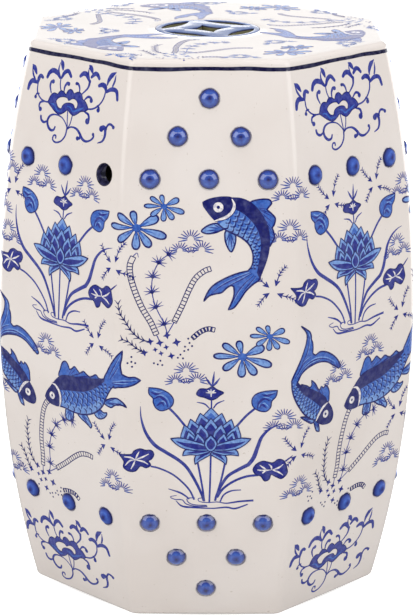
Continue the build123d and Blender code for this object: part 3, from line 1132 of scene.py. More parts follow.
def diving_carp():
    """A carp that swims downwards, its tail flung up and over."""
    return carp(
        back=[(-33.5, 183), (-37, 188.5), (-44, 193.5), (-52, 198), (-60, 202), (-67, 205.5), (-70.5, 209.5)],
        band=[(-41, 181), (-49, 187.5), (-57, 193), (-65, 198.5), (-71.5, 205)],
        belly=[(-46, 171.5), (-53, 174.5), (-60, 179.5), (-66, 186), (-71, 193.5), (-74, 201.5), (-75, 210)],
        head=[(-27, 167.3), (-26, 171.5), (-28, 177), (-31, 181), (-34, 183.4), (-39, 180), (-43, 175.5),
              (-45.7, 171), (-41, 167.5), (-36, 165.7), (-30, 165.5)],
        gill=[(-33.6, 183.4), (-38.5, 180.8), (-43, 176), (-46.2, 170.8)],
        eye=((-35, 174.2), 3.2),
        dorsal=[(-33, 184), (-32, 189), (-32.3, 193), (-34.5, 197), (-37.5, 199), (-37.5, 199), (-39, 197),
                (-42, 198.8), (-43, 196.5), (-43, 196.5), (-45.5, 197.5), (-48.5, 202), (-51, 204.5),
                (-54, 206.7), (-54, 206.7), (-53.3, 203), (-55.5, 201.2), (-58.5, 203), (-62, 204.5),
                (-66, 205.8), (-56, 199), (-44, 192)],
        fins=[
            [(-48.5, 172), (-47, 166.5), (-44.5, 162), (-41, 160.8), (-41, 160.8), (-42, 165.5), (-44, 170)],
            [(-65, 178.7), (-65, 178.7), (-58, 177), (-51, 173.5), (-47.5, 171.5), (-51, 170), (-57, 173.2)],
        ],
        tail=[(-70, 209), (-66, 214.5), (-58, 218.3), (-46, 220), (-36, 218), (-28.5, 213.5), (-22, 209.6),
              (-22, 209.6), (-20, 211.5), (-25, 218.5), (-31.5, 223.5), (-38, 226.8), (-45, 228.3),
              (-50, 226.8), (-53.5, 229), (-53.5, 229), (-53.2, 233.5), (-53.8, 238), (-55.2, 240.5),
              (-55.3, 243.5), (-57, 247), (-61.5, 250.3), (-67, 253.8), (-67, 253.8), (-61.5, 248),
              (-60.3, 243), (-62, 236.5), (-66, 228.5), (-70.5, 220), (-74.7, 209.5)],
        rays=[
            [(-72, 212), (-66, 222), (-60, 231), (-57.5, 240), (-60, 248)],
            [(-71, 213.5), (-64, 222.5), (-56, 226.5)],
            [(-70.5, 212.5), (-62, 220), (-50, 223), (-38, 221), (-28, 215.5)],
            [(-70, 211), (-63, 217.3), (-54, 220.5), (-44, 221.5)],
        ],
    )


def lotus_petal(drawing, base, tip, width, rank, core="deep"):
    """A pointed petal with a pale edge and a dark core."""
    base = np.array(base, float)
    ahead = np.array(tip, float) - base
    side = unit(left_of(ahead)) * width / 2
    edge = [(0.0, 0.35), (0.3, 0.92), (0.58, 0.9), (0.85, 0.36), (1.0, 0.0)]
    outline = [base + ahead * along - side * across for along, across in edge]
    outline += [base + ahead * along + side * across for along, across in reversed(edge)]
    middle = base + ahead * 0.34
    drawing.outlined(outline, "light", 2 * rank, 0.85)
    drawing.patch([middle + (p - middle) * 0.68 for p in outline], core, 2 * rank + 1)


def lotus_bloom():
    """A lotus seen from the side: ranks of petals over two spread ones and four sepals."""
    motif = Drawing()
    axis = 2.2
    ranks = [
        ((0, 168), (0, 187.5), 15), ((4.5, 165), (8.5, 182.8), 12), ((11, 160), (16, 177.8), 11),
        ((15, 153), (20.8, 172.8), 12), ((0, 160), (0, 178.5), 12), ((5.8, 156), (8.3, 173.8), 10.5),
        ((13.5, 151), (17.5, 167.5), 9), ((8, 151), (10.5, 166), 9), ((0, 151), (0, 165.2), 10.5),
    ]
    for rank, ((base, low), (tip, high), width) in enumerate(ranks):
        core = "deep" if rank else "mid"
        for side in (-1, 1) if base else (1,):
            lotus_petal(motif, (axis + side * base, low), (axis + side * tip, high), width, rank, core)
    spread = [
        ([(0, 148), (5, 144.5), (9, 142), (12.2, 139), (12.2, 139), (12.5, 145), (8, 149.5), (0, 151.5)],
         [(1.5, 149.3), (6, 147.2), (11, 142.5)], [2.2, 2.4, 0.4]),
        ([(0, 150.5), (9, 147.3), (16, 147.5), (22, 146.6), (22, 146.6), (20, 151.5), (11, 153), (0, 153.5)],
         [(2, 151.5), (11, 149.8), (19, 149)], [1.8, 2.6, 0.6]),
        ([(0, 151.5), (9, 151), (20, 152.5), (27, 156.5), (31.5, 161.3), (31.5, 161.3), (23.5, 161.8),
          (14, 159.5), (4, 156)],
         [(2, 153), (12, 154.6), (21, 156.6), (27, 159)], [2.2, 4.8, 3.4, 0.6]),
    ]
    half = Drawing()
    for rank, (outline, core, widths) in enumerate(spread, len(ranks)):
        half.outlined(outline, "light", 2 * rank, 0.9)
        half.stroke(core, widths, "deep", 2 * rank + 1)
    motif.add(half, (axis, 0))
    motif.add(half, (axis, 0), flip=True)
    lotus_petal(motif, (axis, 151), (axis, 164.5), 10, len(ranks) + len(spread))
    return motif


def bud(drawing, outline, folds):
    """A closed bud with folded petals."""
    drawing.outlined(outline, "mid", 2, 1.0)
    for fold in folds:
        drawing.stroke(np.array(fold) + (1.0, 1.0), [0.4, 1.3, 0.3], "light", 4)
        drawing.stroke(np.array(fold) - (0.4, 0.4), [0.6, 2.2, 0.5], "deep", 5)


def leaf(drawing, outline, veins):
    """A lobed leaf, dark with bare veins."""
    drawing.outlined(outline, "deep", 2, 1.0)
    for vein in veins:
        drawing.stroke(vein, [0.5, 1.5, 0.5], "bare", 5)


def lotus_plant():
    """A lotus with stems, blades, leaves and buds, rising from its root."""
    motif = Drawing()
    for level, width, path in (
        (1, 1.6, [(-8.5, 143.5), (-6, 130), (-4, 118), (-2.5, 106.5)]),
        (1, 1.5, [(2.3, 147), (2, 125), (1.5, 106)]),
        (1, 1.6, [(14, 143), (11, 127), (8, 115), (6, 107)]),
        (2, [0.3, 2.0, 2.9, 2.9, 2.6, 2.3, 1.8],
         [(-53, 188.5), (-52.3, 178), (-48.7, 166), (-42, 156), (-33, 149.5), (-24, 143.5), (-17, 137),
          (-11, 127), (-5.5, 115), (-3, 107)]),
        (2, [0.3, 1.8, 2.8, 3.4, 3.0, 2.6, 2.2, 1.8],
         [(60, 174.5), (54, 172.8), (47.5, 169), (42, 162.5), (39, 154), (36, 145), (32, 139), (32, 139),
          (24, 134.5), (16, 129), (11, 121), (7.5, 113), (6, 107)]),
        (1, 1.5, [(-45, 137.3), (-38, 135.5), (-28, 130.5), (-20, 123.5), (-14, 116), (-10.5, 108)]),
        (1, 2.0, [(40, 130), (30, 128.5), (20, 124), (12, 117.5), (7.5, 110)]),
        (1, [0.6, 1.6, 1.2], [(-31, 117.6), (-22, 114.3), (-17, 111), (-14.5, 108.5)]),
        (1, [0.8, 1.5, 1.2], [(26.5, 116.8), (19, 116), (13, 112.5), (10, 106.3)]),
        (1, 1.9, [(-31.5, 188), (-25, 181), (-18, 172)]),
        (1, 1.9, [(37, 187.3), (30, 181), (22, 171.5)]),
        (1, 1.2, [(2.5, 195), (2.5, 187)]),
        (2, [0.5, 1.3, 1.0], [(-9, 192), (-3, 190.6), (0.8, 187)]),
        (2, [0.6, 1.3, 1.0], [(12.5, 193.6), (7, 191), (4, 187)]),
        (2, [0.5, 0.9, 0.9, 1.0],
         [(-24.5, 111.8), (-29.5, 110.5), (-26, 108.3), (-20, 107.8), (-17, 104.3), (-10, 102.2), (0, 102)]),
        (2, [0.6, 1.8, 1.4, 1.0, 1.4, 1.6, 1.0],
         [(-25, 107), (-20, 102.2), (-10, 101), (4, 100.3), (15, 101.3), (22, 100.2), (32, 104)]),
        (2, 0.8, [(-10, 109.6), (-16, 109.2), (-15, 105.5), (-10, 103.4), (-0.5, 103)]),
        (2, [0.7, 0.8, 0.9, 1.6, 1.8],
         [(-3, 109.7), (-7.2, 109), (-6.3, 106.4), (0, 105.5), (8, 106), (15, 104.9), (25, 106.5),
          (36.5, 107.5)]),
    ):
        motif.stroke(path, width, "stem", level)
    sprout = np.array([3, 205])
    for tip in ((4.5, 217.5), (-2.5, 213.2), (9, 212.3)):
        motif.stroke([sprout, (sprout + tip) / 2 - (0, 0.5), tip], [1.2, 1.9, 0.3], "stem", 2)
    motif.add(lotus_bloom(), raised=2)
    for outline, folds in (
        ([(-46.3, 204), (-46.3, 204), (-38, 203), (-31, 199.5), (-27.3, 194.5), (-28, 189.5), (-32, 186),
          (-37, 184.8), (-41, 187.3), (-43, 192), (-43, 195), (-46.3, 199)],
         [[(-43, 194.5), (-38, 197), (-33, 193.5), (-31, 188)], [(-45, 201), (-40, 199), (-36, 200.5)],
          [(-40, 189), (-36, 192), (-34, 189)]]),
        ([(53.8, 202), (53.8, 202), (44, 201.2), (37, 198.7), (34, 194), (35, 188.5), (39, 185.3),
          (45, 184.4), (48.7, 188), (49.5, 193), (52.7, 197)],
         [[(49, 193.5), (44, 195.5), (40, 192), (38.5, 187)], [(52, 200), (46, 198), (42, 199)],
          [(46, 187.5), (42.5, 190.5), (40.5, 188)]]),
    ):
        bud(motif, outline, folds)
    for outline, veins in (
        ([(-70.5, 147.6), (-70.5, 147.6), (-66, 147.4), (-60, 147.7), (-58, 150.5), (-53.5, 152.4),
          (-49, 151.2), (-44.5, 151), (-42.5, 147.5), (-44.5, 143.5), (-47, 142), (-45, 138.5),
          (-48.5, 136), (-53, 137.5), (-57, 133.2), (-62, 133), (-66.5, 136.5), (-66, 141), (-67.5, 144)],
         [[(-57, 143), (-51, 145.5), (-46.5, 148)], [(-57, 143), (-51, 141.5), (-47, 139)],
          [(-57, 143), (-58.5, 139), (-60.5, 135)], [(-57, 143), (-61.5, 142), (-65, 138)],
          [(-57, 143), (-61, 145), (-66, 145.5)], [(-57, 143), (-55.5, 147), (-54, 150)]]),
        ([(35.8, 134.5), (38, 139), (43.5, 142), (51, 140.6), (55.5, 143.6), (60, 142.3), (62, 137),
          (62.7, 132), (58.5, 127), (53.5, 128.8), (50, 130.5), (48.5, 126.3), (45, 124.8), (42, 129),
          (38, 130.5)],
         [[(50, 134.5), (44, 134), (39, 134.5)], [(47, 134.2), (43, 137), (41, 138.5)],
          [(46, 134), (43, 131.5)], [(51, 134.5), (56, 136.5), (59.5, 139.5)],
          [(51, 134.5), (56, 132.5), (59.5, 130)], [(50.5, 134.5), (50, 137.5), (48, 139.5)]]),
        ([(-9.2, 199), (-6.5, 203), (-1, 203), (3, 204.8), (7, 202.3), (11.8, 200), (9, 197.8), (6, 195.2),
          (2, 194), (-3, 196), (-7, 197)],
         [[(2, 203), (2.2, 196.5)], [(-2, 200), (6, 200)], [(-0.5, 202), (2, 200)],
          [(5, 202), (2.5, 200)]]),
    ):
        leaf(motif, outline, veins)
    motif.stroke([(61, 142), (64, 144.5), (67, 147)], [1.4, 1.2, 0.4], "deep", 3)
    return motif


def curl(drawing, path, width, bulb=0.0):
    """A scroll that ends in a bulb."""
    drawing.stroke(path, 1.25 * np.asarray(width), "stem", 2, round_ends=True)
    if bulb:
        drawing.dot(path[-1], 1.15 * bulb, "stem", 2)


def scroll_flower():
    """A cloud-shaped blossom with tulip sprays and curled tendrils."""
    motif = Drawing()
    cloud = [(-32.5, 411.5), (-32.5, 411.5), (-30, 417), (-26.5, 419.4), (-22.5, 418.8), (-22.5, 418.8),
             (-19.5, 422), (-16, 421.6), (-13, 419.8), (-13, 419.8), (-11, 423.4), (-7.5, 424.5),
             (-4, 421.8), (-4, 421.8), (0, 423.6), (4, 423), (6.5, 418.8), (6.5, 418.8), (10, 417.4),
             (13.5, 413), (11, 410.6), (6, 409.6), (2, 407), (-2, 405.4), (-6, 407), (-9, 408.6),
             (-13, 406), (-18, 404), (-23, 405.6), (-27, 408)]
    hollow = [(-23, 414), (-20, 416.8), (-15, 418), (-11, 417.6), (-9, 416), (-5, 418), (-1, 417.6),
              (1.5, 415), (1, 411.6), (-1, 411), (-3, 413.4), (-7, 414.2), (-12, 413.4), (-15, 411.3),
              (-16.5, 408.6), (-20, 409.2), (-22, 411.4)]
    motif.patch(cloud, "stem", 1, [hollow])
    motif.stroke(cloud, 0.8, "line", 2, closed=True)
    motif.stroke(hollow, 0.7, "line", 2, closed=True)
    for path, widths in (
        ([(-29, 411), (-25, 410.5), (-20, 406.5), (-15, 407)], [0.5, 1.6, 1.2, 0.4]),
        ([(-10, 411.5), (-6, 411), (-3, 408.5), (2, 410), (9, 413)], [0.5, 1.4, 1.2, 1.6, 0.4]),
    ):
        motif.stroke(path, widths, "mid", 2)
    for bold, fine, left, right in (
        ([(-56, 437.7), (-52.5, 435), (-49.3, 430.6)], [(-55.7, 436.5), (-53.6, 430.5), (-50.4, 426.5)],
         [(-47.5, 424.6), (-53, 425.4), (-56, 422.6), (-57, 418.6)],
         [(-47, 424.5), (-46, 429), (-44, 430.3), (-42, 429.3)]),
        ([(-24, 445.5), (-21.5, 441.5), (-20.2, 437.5)], [(-24.6, 443), (-25.2, 437), (-22, 431.5)],
         [(-22.5, 431.8), (-26, 434.8), (-31, 436.2), (-35, 434), (-36.8, 430.4)],
         [(-20.6, 432), (-18, 436.2), (-14, 437.8), (-10.2, 434.2)]),
        ([(8, 445.5), (11, 443), (13.4, 439.5)], [(8.3, 443.5), (8.7, 438.5), (11, 432.6)],
         [(10.7, 433.8), (7, 438), (3, 438.2), (0.2, 436)],
         [(12.6, 436.8), (16, 439.8), (19, 439.3), (21.3, 436.8)]),
        ([(39, 444), (34, 440.6), (31.6, 436.5), (31, 433)], [(38.8, 442), (38.4, 437), (36.8, 432.8)],
         [(30.6, 428.6), (29, 431.8), (25.5, 432.8), (22.3, 431.6)],
         [(31, 428.2), (36.5, 430.8), (42, 430), (44.2, 424)]),
    ):
        motif.stroke(bold, [0.4, 4.0, 3.4, 1.0], "stem", 2)
        motif.stroke(fine, [0.4, 1.9, 1.6], "stem", 2)
        curl(motif, left, [1.8, 3.2, 3.0, 2.2])
        curl(motif, right, [1.8, 2.8, 2.6, 2.0])
    for path, width, bulb in (
        ([(-46.6, 424.5), (-46, 418), (-42, 413.6), (-37, 411.6), (-31, 411.5)], 1.0, 0),
        ([(-43.8, 416.4), (-46.5, 416), (-47.3, 413.6)], 1.1, 1.3),
        ([(-37, 411.5), (-41, 410), (-41.8, 406.8), (-40, 405)], 1.4, 1.6),
        ([(-21.4, 431.8), (-21, 426.5), (-19, 421.5)], 0.9, 0),
        ([(-30, 419), (-32.2, 424), (-31.5, 427.3), (-29.4, 427.8)], [0.8, 1.5, 1.8], 1.5),
        ([(-15.7, 421), (-15.6, 425.5), (-13.4, 428.6), (-11.5, 428.3)], [0.8, 1.5, 2.2], 1.4),
        ([(1.8, 423), (1.2, 427), (-0.8, 429.6), (-3, 429.8)], [0.8, 1.4, 2.0], 1.1),
        ([(11.5, 433.4), (10.4, 428.3), (5, 423)], [2.0, 1.3, 0.9], 0),
        ([(30.3, 428.6), (29, 422.6), (25, 417.2), (19, 413.6), (12, 412.4)], 1.1, 0),
        ([(23.5, 416.3), (25.6, 415), (25, 413.4)], 1.4, 1.6),
        ([(8, 418.5), (12, 421.8), (15.5, 421), (16, 419.4)], [0.8, 1.6, 1.8], 1.6),
        ([(10.5, 410), (14.8, 408.6), (16, 405), (14.7, 403.4)], [1.0, 1.8, 2.0], 2.1),
        ([(29, 389), (34, 391.3), (36, 396), (35.4, 401)], [0.6, 1.8, 2.4], 0),
        ([(35.2, 400), (38.5, 404.6), (42, 404.6), (44, 403.2)], [1.4, 1.5, 1.6], 1.3),
        ([(36, 401), (33, 401.4), (31.2, 400.2)], [2.4, 3.0, 3.2], 2.1),
        ([(-8.6, 408), (-7.6, 400), (-6.5, 394.5)], 0.8, 0),
        ([(-2.6, 406), (-4, 399), (-6.5, 394.5)], 0.8, 0),
        ([(-6.7, 394.2), (-3, 396.4), (3, 396.2), (7.5, 393.4), (11.5, 389.4), (16, 388.2), (21, 390),
          (23.6, 392.8), (22.9, 394.6)], [1.0, 1.1, 1.9, 1.9, 1.2, 1.6], 1.2),
        ([(9, 392), (8.3, 389.6), (6, 389)], [2.0, 1.8], 1.5),
        ([(-6.7, 394.5), (-9, 398), (-14, 402), (-21, 403.3), (-27, 402), (-30, 398), (-29, 393.6),
          (-25.5, 390.8), (-22, 391.3), (-20.7, 393.8)], [0.9, 0.8, 0.9, 1.7, 2.0, 1.2], 0),
        ([(-29.8, 397.3), (-34, 395.6), (-37.3, 397), (-38.3, 399.8)], [1.0, 1.8, 1.6], 0),
        ([(-7, 394.5), (-8, 389), (-12, 384.2), (-18, 382.2), (-21.8, 384), (-21, 387.2), (-18.6, 387.4),
          (-18.4, 385.6)], [1.3, 1.1, 1.2, 1.1], 0),
    ):
        curl(motif, path, width, bulb)
    return motif


RIM_LINE_LEVEL = 450.3


def rim_line(drawing):
    """A dark band under the seat's rounded rim, a little uneven."""
    half_width = half_flats(RIM_LINE_LEVEL) * MITRE
    waver = np.array([-0.1, -0.4, -0.5, 0.0, 0.2, 0.1, 0.4, -0.2, -0.1])
    places = np.linspace(-half_width, half_width, len(waver))
    line = np.stack([places, RIM_LINE_LEVEL + waver], axis=-1)
    drawing.stroke(line, [2.9, 3.3, 2.8, 2.7, 3.1, 2.9], "rim", 1)


def place_all(drawing, motif, *places):
    """The same motif at several places: across and level."""
    for place in places:
        drawing.add(motif, place)


def triangle_face():
    """Decoration of a face with triangles of bosses."""
    drawing = Drawing()
    rim_line(drawing)
    place_all(drawing, daisy_pair(), (-55.3, 331), (26.7, 229.6))
    drawing.add(leaping_carp(), (0.7, 0.4))
    place_all(drawing, weeds(), (-31.3, 247.1))
    drawing.add(lotus_plant(), (0.6, 0))
    place_all(drawing, sprig(), (49.7, 282.3))
    place_all(drawing, tuft(), (-13.3, 321), (-16.3, 216.5), (64.7, 361.6), (62.7, 329.4), (60.7, 178))
    return drawing


def row_face(lotus_at, high_scroll, low_scroll, diving_at, swimming_at, weeds_at, sprigs, tufts):
    """Decoration of a face with rows of bosses."""
    drawing = Drawing()
    rim_line(drawing)
    place_all(drawing, scroll_flower(), high_scroll, low_scroll)
    drawing.add(lotus_plant(), lotus_at)
    drawing.add(swimming_carp(), swimming_at)
    drawing.add(diving_carp(), diving_at)
    drawing.add(weeds(), weeds_at, -31)
    place_all(drawing, sprig(), *sprigs)
    place_all(drawing, tuft(), *tufts)
    return drawing


def painted_film(drawing, place, normals, dense):
    """Points, faces, normals and inks of a drawing that is laid on a surface as thin closed films."""
    points, shading, inks, faces = [], [], [], []
    total = 0
    for ink, level, kind, loops in drawing.shapes:
        flat_mesh = ribbon_mesh if kind == "ribbon" else patch_mesh
        flat, quads, rim = flat_mesh(loops, dense)
        count = len(flat)
        out = normals(flat)
        points += [place(flat, FILM_BASE + FILM_STEP * level), place(flat, FILM_ROOT)]
        shading += [out, out]
        inks.append(np.tile(INKS[ink], (2 * count, 1)))
        quads, (tail, head) = quads + total, (rim + total).T
        faces += quads.tolist()
        faces += (quads[:, ::-1] + count).tolist()
        faces += np.stack([head, tail, tail + count, head + count], axis=-1).tolist()
        total += 2 * count
    return np.concatenate(points), faces, np.concatenate(shading), np.concatenate(inks)


def ribbon_mesh(sides, dense):
    """Flat mesh of a ribbon: points, faces and border edges, both anticlockwise."""
    left, right = sides
    if dense(np.concatenate(sides)):
        fine = ceil(np.max(np.linalg.norm(np.diff(left, axis=0), axis=1)) / ARRIS_SPACING)
        run = np.arange(len(left))
        spots = np.linspace(0, run[-1], run[-1] * fine + 1)
        left, right = points_at(left, run, spots), points_at(right, run, spots)
    count = len(left)
    i = np.arange(count - 1)
    quads = np.stack([i, i + count, i + 1 + count, i + 1], axis=-1)
    loop = np.concatenate([np.arange(count, 2 * count), np.arange(count)[::-1]])
    return np.concatenate([left, right]), quads, np.stack([loop, np.roll(loop, -1)], axis=-1)


def patch_mesh(loops, dense):
    """Flat mesh of a patch: points, faces and border edges, both anticlockwise."""
    low, high = np.min(loops[0], axis=0), np.max(loops[0], axis=0)
    near_arris = dense(np.concatenate(loops))
    if near_arris:
        loops = [refine(loop) for loop in loops]
    step = ARRIS_PATCH_SPACING if near_arris else PATCH_SPACING
    across, level = (np.arange(low[i] + step[i] / 2, high[i], step[i]) for i in (0, 1))
    extra = np.stack(np.meshgrid(across, level), axis=-1).reshape(-1, 2)
    made, triangles = fill(loops, extra)
    edges = np.concatenate([triangles[:, [0, 1]], triangles[:, [1, 2]], triangles[:, [2, 0]]])
    there = {tuple(edge) for edge in edges.tolist()}
    rim = [edge for edge in sorted(there) if edge[::-1] not in there]
    return made, triangles, np.array(rim)


def refine(loop):
    """A closed loop with edges short enough to bend round an arris."""
    fine = []
    for a, b in zip(loop, np.roll(loop, -1, axis=0)):
        count = max(1, ceil(np.linalg.norm(b - a) / ARRIS_SPACING))
        fine.append(a + (b - a) * np.arange(count)[:, None] / count)
    return np.concatenate(fine)


def crosses_arris(flat):
    """Whether a shape on a face reaches its rounded arrises, or nearly."""
    straight = (half_flats(flat[:, 1]) - ARRIS_RADIUS) * MITRE
    return bool(np.any(np.abs(flat[:, 0]) > straight - ARRIS_NEAR))


def paint_material():
    """Cobalt under the glaze: each ink uneven where the brush ran thin or pooled."""
    shader = Shader("cobalt_painting")
    thin = shader.range(shader.noise(size=5, detail=3), 0.0, 0.09, 0.4, 0.75)
    washed = shader.mix(thin, shader.attribute("ink", "Color"), INK_WASHED)
    pooled = shader.ramp(shader.noise(size=2.2, detail=3), (0.32, INK_POOLED), (0.6, WHITE))
    shader.set(Base_Color=shader.mix(1.0, washed, pooled, blend="MULTIPLY"), Specular_IOR_Level=THIN_SPECULAR)
    glaze_gloss(shader, coat=PAINT_COAT)
    return shader.material


PAINT = paint_material()


def make_film(name, points, faces, shading, inks):
    """The painted film as a piece, its inks kept on its points."""
    piece = make_piece(name, points, faces, [PAINT], shading)
    keep_on_points(piece, "ink", "FLOAT_COLOR", "color", inks)


def turned(vectors, face_count):
    """Vectors turned about the axis by a number of faces."""
    c, s = cos(radians(face_count * FACE_ANGLE)), sin(radians(face_count * FACE_ANGLE))
    return vectors @ np.array([[c, s, 0], [-s, c, 0], [0, 0, 1]])


def paint_walls():
    """The three drawings of the faces, each worked out once and turned to every face that carries it."""
    left_row = row_face(
        lotus_at=(0.6, 139.3), high_scroll=(4.9, 1.4), low_scroll=(-2.4, -374), diving_at=(-2.3, 0.3),
        swimming_at=(1.2, 0.3), weeds_at=(-19.2, 108.1),
        sprigs=[(62.7, 299.8), (45.8, 235.6), (55, 153.2), (-57.6, 341)],
        tufts=[(-24.2, 355.6), (25.8, 355), (-12.4, 221.5), (58.8, 123), (-60.2, 305.8), (-62.3, 108)],
    )
    right_row = row_face(
        lotus_at=(-4.7, 136.8), high_scroll=(1.6, 1.4), low_scroll=(2, -374), diving_at=(0.3, -0.2),
        swimming_at=(5.3, -0.2), weeds_at=(-8.3, 109.1),
        sprigs=[(-26.5, 344.6), (25.4, 349.7), (52.9, 240), (56.5, 153.7), (-63.4, 147.7)],
        tufts=[(49.2, 297.4), (60.4, 345.6), (16.2, 221), (-21.7, 207), (48.7, 119.6), (-59.3, 118.6)],
    )
    carriers = [(triangle_face(), TRIANGLE_FACES), (left_row, ROW_FACES[::-2]), (right_row, ROW_FACES[::2])]
    for drawing, faces in carriers:
        home = faces[0]
        points, polygons, shading, inks = painted_film(
            drawing, lambda flat, lift: barrel_points(home, *flat.T, lift),
            lambda flat: barrel_normals(home, *flat.T), crosses_arris,
        )
        for face in faces:
            name, turn = f"painting_{FACE_NAMES[face]}", face - home
            make_film(name, turned(points, turn), polygons, turned(shading, turn), inks)


def seat_points(flat, lift):
    """Points on the seat's top, and over its rounded rim."""
    edge = half_flats(HEIGHT - RIM_ROUND) - RIM_ROUND
    headings = face_heading(np.arange(len(FACE_NAMES)))
    ways = np.stack([np.cos(headings), np.sin(headings)], axis=-1)
    reach = flat @ ways.T - edge
    nearest = np.argmax(reach, axis=1)
    over = np.clip(reach[np.arange(len(flat)), nearest], 0, None)
    way = ways[nearest]
    bend = np.clip(over / RIM_ROUND, 0, pi / 2)[:, None]
    top = flat - way * over[:, None] + way * (RIM_ROUND + lift) * np.sin(bend)
    height = HEIGHT - RIM_ROUND + (RIM_ROUND + lift) * np.cos(bend)
    return np.concatenate([top, height], axis=1)


def seat_normals(flat):
    """Normals of the seat's top and rim."""
    return unit(seat_points(flat, 1.0) - seat_points(flat, 0.0))


def near_rim(flat):
    """Whether a shape reaches the seat's rounded rim."""
    return bool(np.any(np.linalg.norm(flat, axis=1) > SEAT_RIM_NEAR))


# The seat is painted with thinner ink than the walls
SEAT_INKS = {"line": "stem", "deep": "mid", "stem": "mid"}


def paint_seat():
    """The pond again on the seat, three times round the coin."""
    swimmer = Drawing()
    swimmer.add(leaping_carp(), (-6.5, -346.6))
    third = Drawing()
    third.add(swimmer, (-75, -95), 143, 0.97)
    third.add(weeds(), (-20, -118), -31, 0.97)
    third.add(daisy_pair(), (59, -107), 30, 0.88)
    for place, turn in (((-63, -123), -45), ((24, -125), 0), ((53, -61), 30), ((109, -67), 60)):
        third.add(tuft(), place, turn, 0.9)
    drawing = Drawing()
    for turn in (0, 120, 240):
        drawing.add(third, turn=turn, inks=SEAT_INKS)
    make_film("painting_seat", *painted_film(drawing, seat_points, seat_normals, near_rim))


paint_walls()
paint_seat()


# Camera at the photograph's place, floor and studio light

IMAGE_HEIGHT = 615
FOCAL_PIXELS = 2307.4
SENSOR = 36.0
CAMERA_PLACE = Vector((-22.52, -1871.14, 777.32)) * MM
CAMERA_YAW, CAMERA_PITCH, CAMERA_ROLL = -0.7511, 16.6166, 0.4306
CAMERA_RANGE = 50.0

# Floor: half its side and the ring where it turns white, in metres
FLOOR_HALF, FLOOR_RING = 8.0, (0.13, 0.15)
FLOOR_GREY, FLOOR_GLOW = srgb(222, 221, 219), 0.85

# Light of the surroundings, and what reflections find there
WORLD_LIGHT, WORLD_DIM, GROUND_LIGHT = 0.90, 0.15, 0.45
WINDOW_LIGHT, EDGE_LIGHT, BACK_LIGHT = 1.4, 2.2, 0.65

# Parts of a unit direction: where one light gives way to the next, and the windows' middles and reaches
HORIZON, SIDE_FOOT, SIDE_HEAD = (-0.06, 0.04), (-0.36, -0.22), (0.08, 0.16)
EDGE_TURN, BACK_TURN = (0.16, 0.2), (0.84, 0.92)
WINDOW_ACROSS, WINDOW_UP = (-0.45, 0.28), (0.40, 0.37)

# Soft lamps, in metres and watts: place, target, width, height and power
SOFTBOXES = {
    "softbox_left": ((-1.6, -1.3, 1.4), (0, 0, 0.3), 1.0, 1.6, 9),
    "softbox_right": ((1.6, -1.3, 1.4), (0, 0, 0.3), 1.0, 1.6, 7),
    "softbox_top": ((0.0, 0.0, 2.4), (0, 0, 0.2), 1.6, 1.6, 13),
}


def make_camera():
    """Camera of the photograph, as fitted to the stool's outline."""
    yaw, pitch, roll = (radians(v) for v in (CAMERA_YAW, CAMERA_PITCH, CAMERA_ROLL))
    back = Vector((sin(yaw) * cos(pitch), -cos(yaw) * cos(pitch), sin(pitch)))
    right = Vector((cos(yaw), sin(yaw), 0))
    up = back.cross(right)
    tilted_right = right * cos(roll) + up * sin(roll)
    tilted_up = up * cos(roll) - right * sin(roll)
    data = bpy.data.cameras.new("camera")
    data.sensor_width = SENSOR
    data.lens = FOCAL_PIXELS * SENSOR / IMAGE_HEIGHT
    data.clip_end = CAMERA_RANGE
    camera = add_object("camera", data)
    turn = Matrix((tilted_right, tilted_up, back)).transposed().to_4x4()
    camera.matrix_world = Matrix.Translation(CAMERA_PLACE) @ turn
    bpy.context.scene.camera = camera


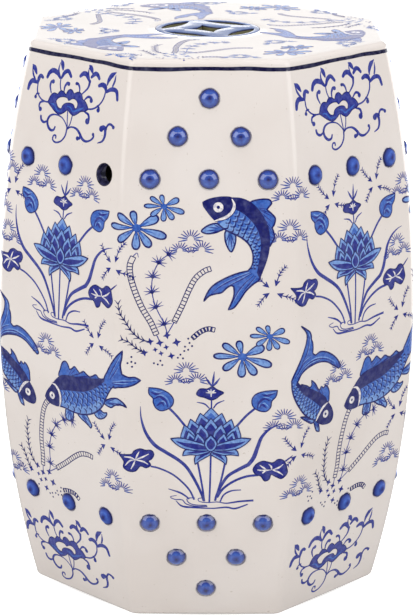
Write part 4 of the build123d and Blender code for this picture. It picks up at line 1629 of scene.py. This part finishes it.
def make_floor():
    """Floor that keeps the stool's shadow and shows as plain white round it."""
    mesh = bpy.data.meshes.new("floor")
    corners = [(x * FLOOR_HALF, y * FLOOR_HALF, 0) for x, y in ((-1, -1), (1, -1), (1, 1), (-1, 1))]
    mesh.from_pydata(corners, [], [(0, 1, 2, 3)])
    floor = add_object("floor", mesh)
    floor.visible_glossy = False
    shader = Shader("floor")
    shader.set(Base_Color=FLOOR_GREY, Roughness=0.9, Specular_IOR_Level=0.1, Emission_Color=WHITE)
    distance = shader.node("VectorMath", {0: shader.place}, operation="LENGTH")["Value"]
    glow = shader.range(distance, 0.0, FLOOR_GLOW, *FLOOR_RING)
    seen = shader.node("LightPath")["Is Camera Ray"]
    shader.set(Emission_Strength=shader.math("MULTIPLY", seen, glow))
    mesh.materials.append(shader.material)


def make_world():
    """Even studio light, white to the camera. Reflections find windows at the sides and a dim front."""
    studio = bpy.data.worlds.new("studio")
    bpy.context.scene.world = studio
    world = NodeTree(studio)
    rays = world.node("LightPath")
    ways = world.node("SeparateXYZ", {0: world.node("TexCoord")["Generated"]})
    deep, up = ways["Y"], ways["Z"]

    def times(a, b, plus=0.0):
        """Product of two numbers, added to a third."""
        return world.math("MULTIPLY_ADD", a, b, plus)

    ground = world.range(up, GROUND_LIGHT, WORLD_DIM, *HORIZON)
    above, below = world.range(up, 0, 1, *SIDE_HEAD), world.range(up, 1, 0, *SIDE_HEAD)
    sheen = times(world.range(deep, 0, BACK_LIGHT, *BACK_TURN), above, ground)
    sides = times(world.range(up, 0, 1, *SIDE_FOOT), below)
    edges = times(world.range(deep, 0, EDGE_LIGHT, *EDGE_TURN), sides, sheen)
    windows = times(world.math("COMPARE", deep, *WINDOW_ACROSS), world.math("COMPARE", up, *WINDOW_UP))
    mirrored = times(windows, WINDOW_LIGHT, edges)
    strength = world.mix(rays["Is Glossy Ray"], WORLD_LIGHT, mirrored, "FLOAT")
    strength = world.mix(rays["Is Camera Ray"], strength, 1.0, "FLOAT")
    background = world.nodes["Background"].inputs
    world.put(background["Color"], WHITE)
    world.put(background["Strength"], strength)


def softbox(name, place, target, width, height, power):
    """A soft studio lamp that looks at a target."""
    data = bpy.data.lights.new(name, "AREA")
    data.shape = "RECTANGLE"
    data.size, data.size_y = width, height
    data.energy = power
    lamp = add_object(name, data)
    lamp.visible_glossy = False
    lamp.location = place
    lamp.rotation_mode = "QUATERNION"
    lamp.rotation_quaternion = (Vector(target) - Vector(place)).to_track_quat("-Z", "Y")


make_camera()
make_floor()
make_world()
for name, lamp in SOFTBOXES.items():
    softbox(name, *lamp)

bpy.context.scene.view_settings.view_transform = "Standard"
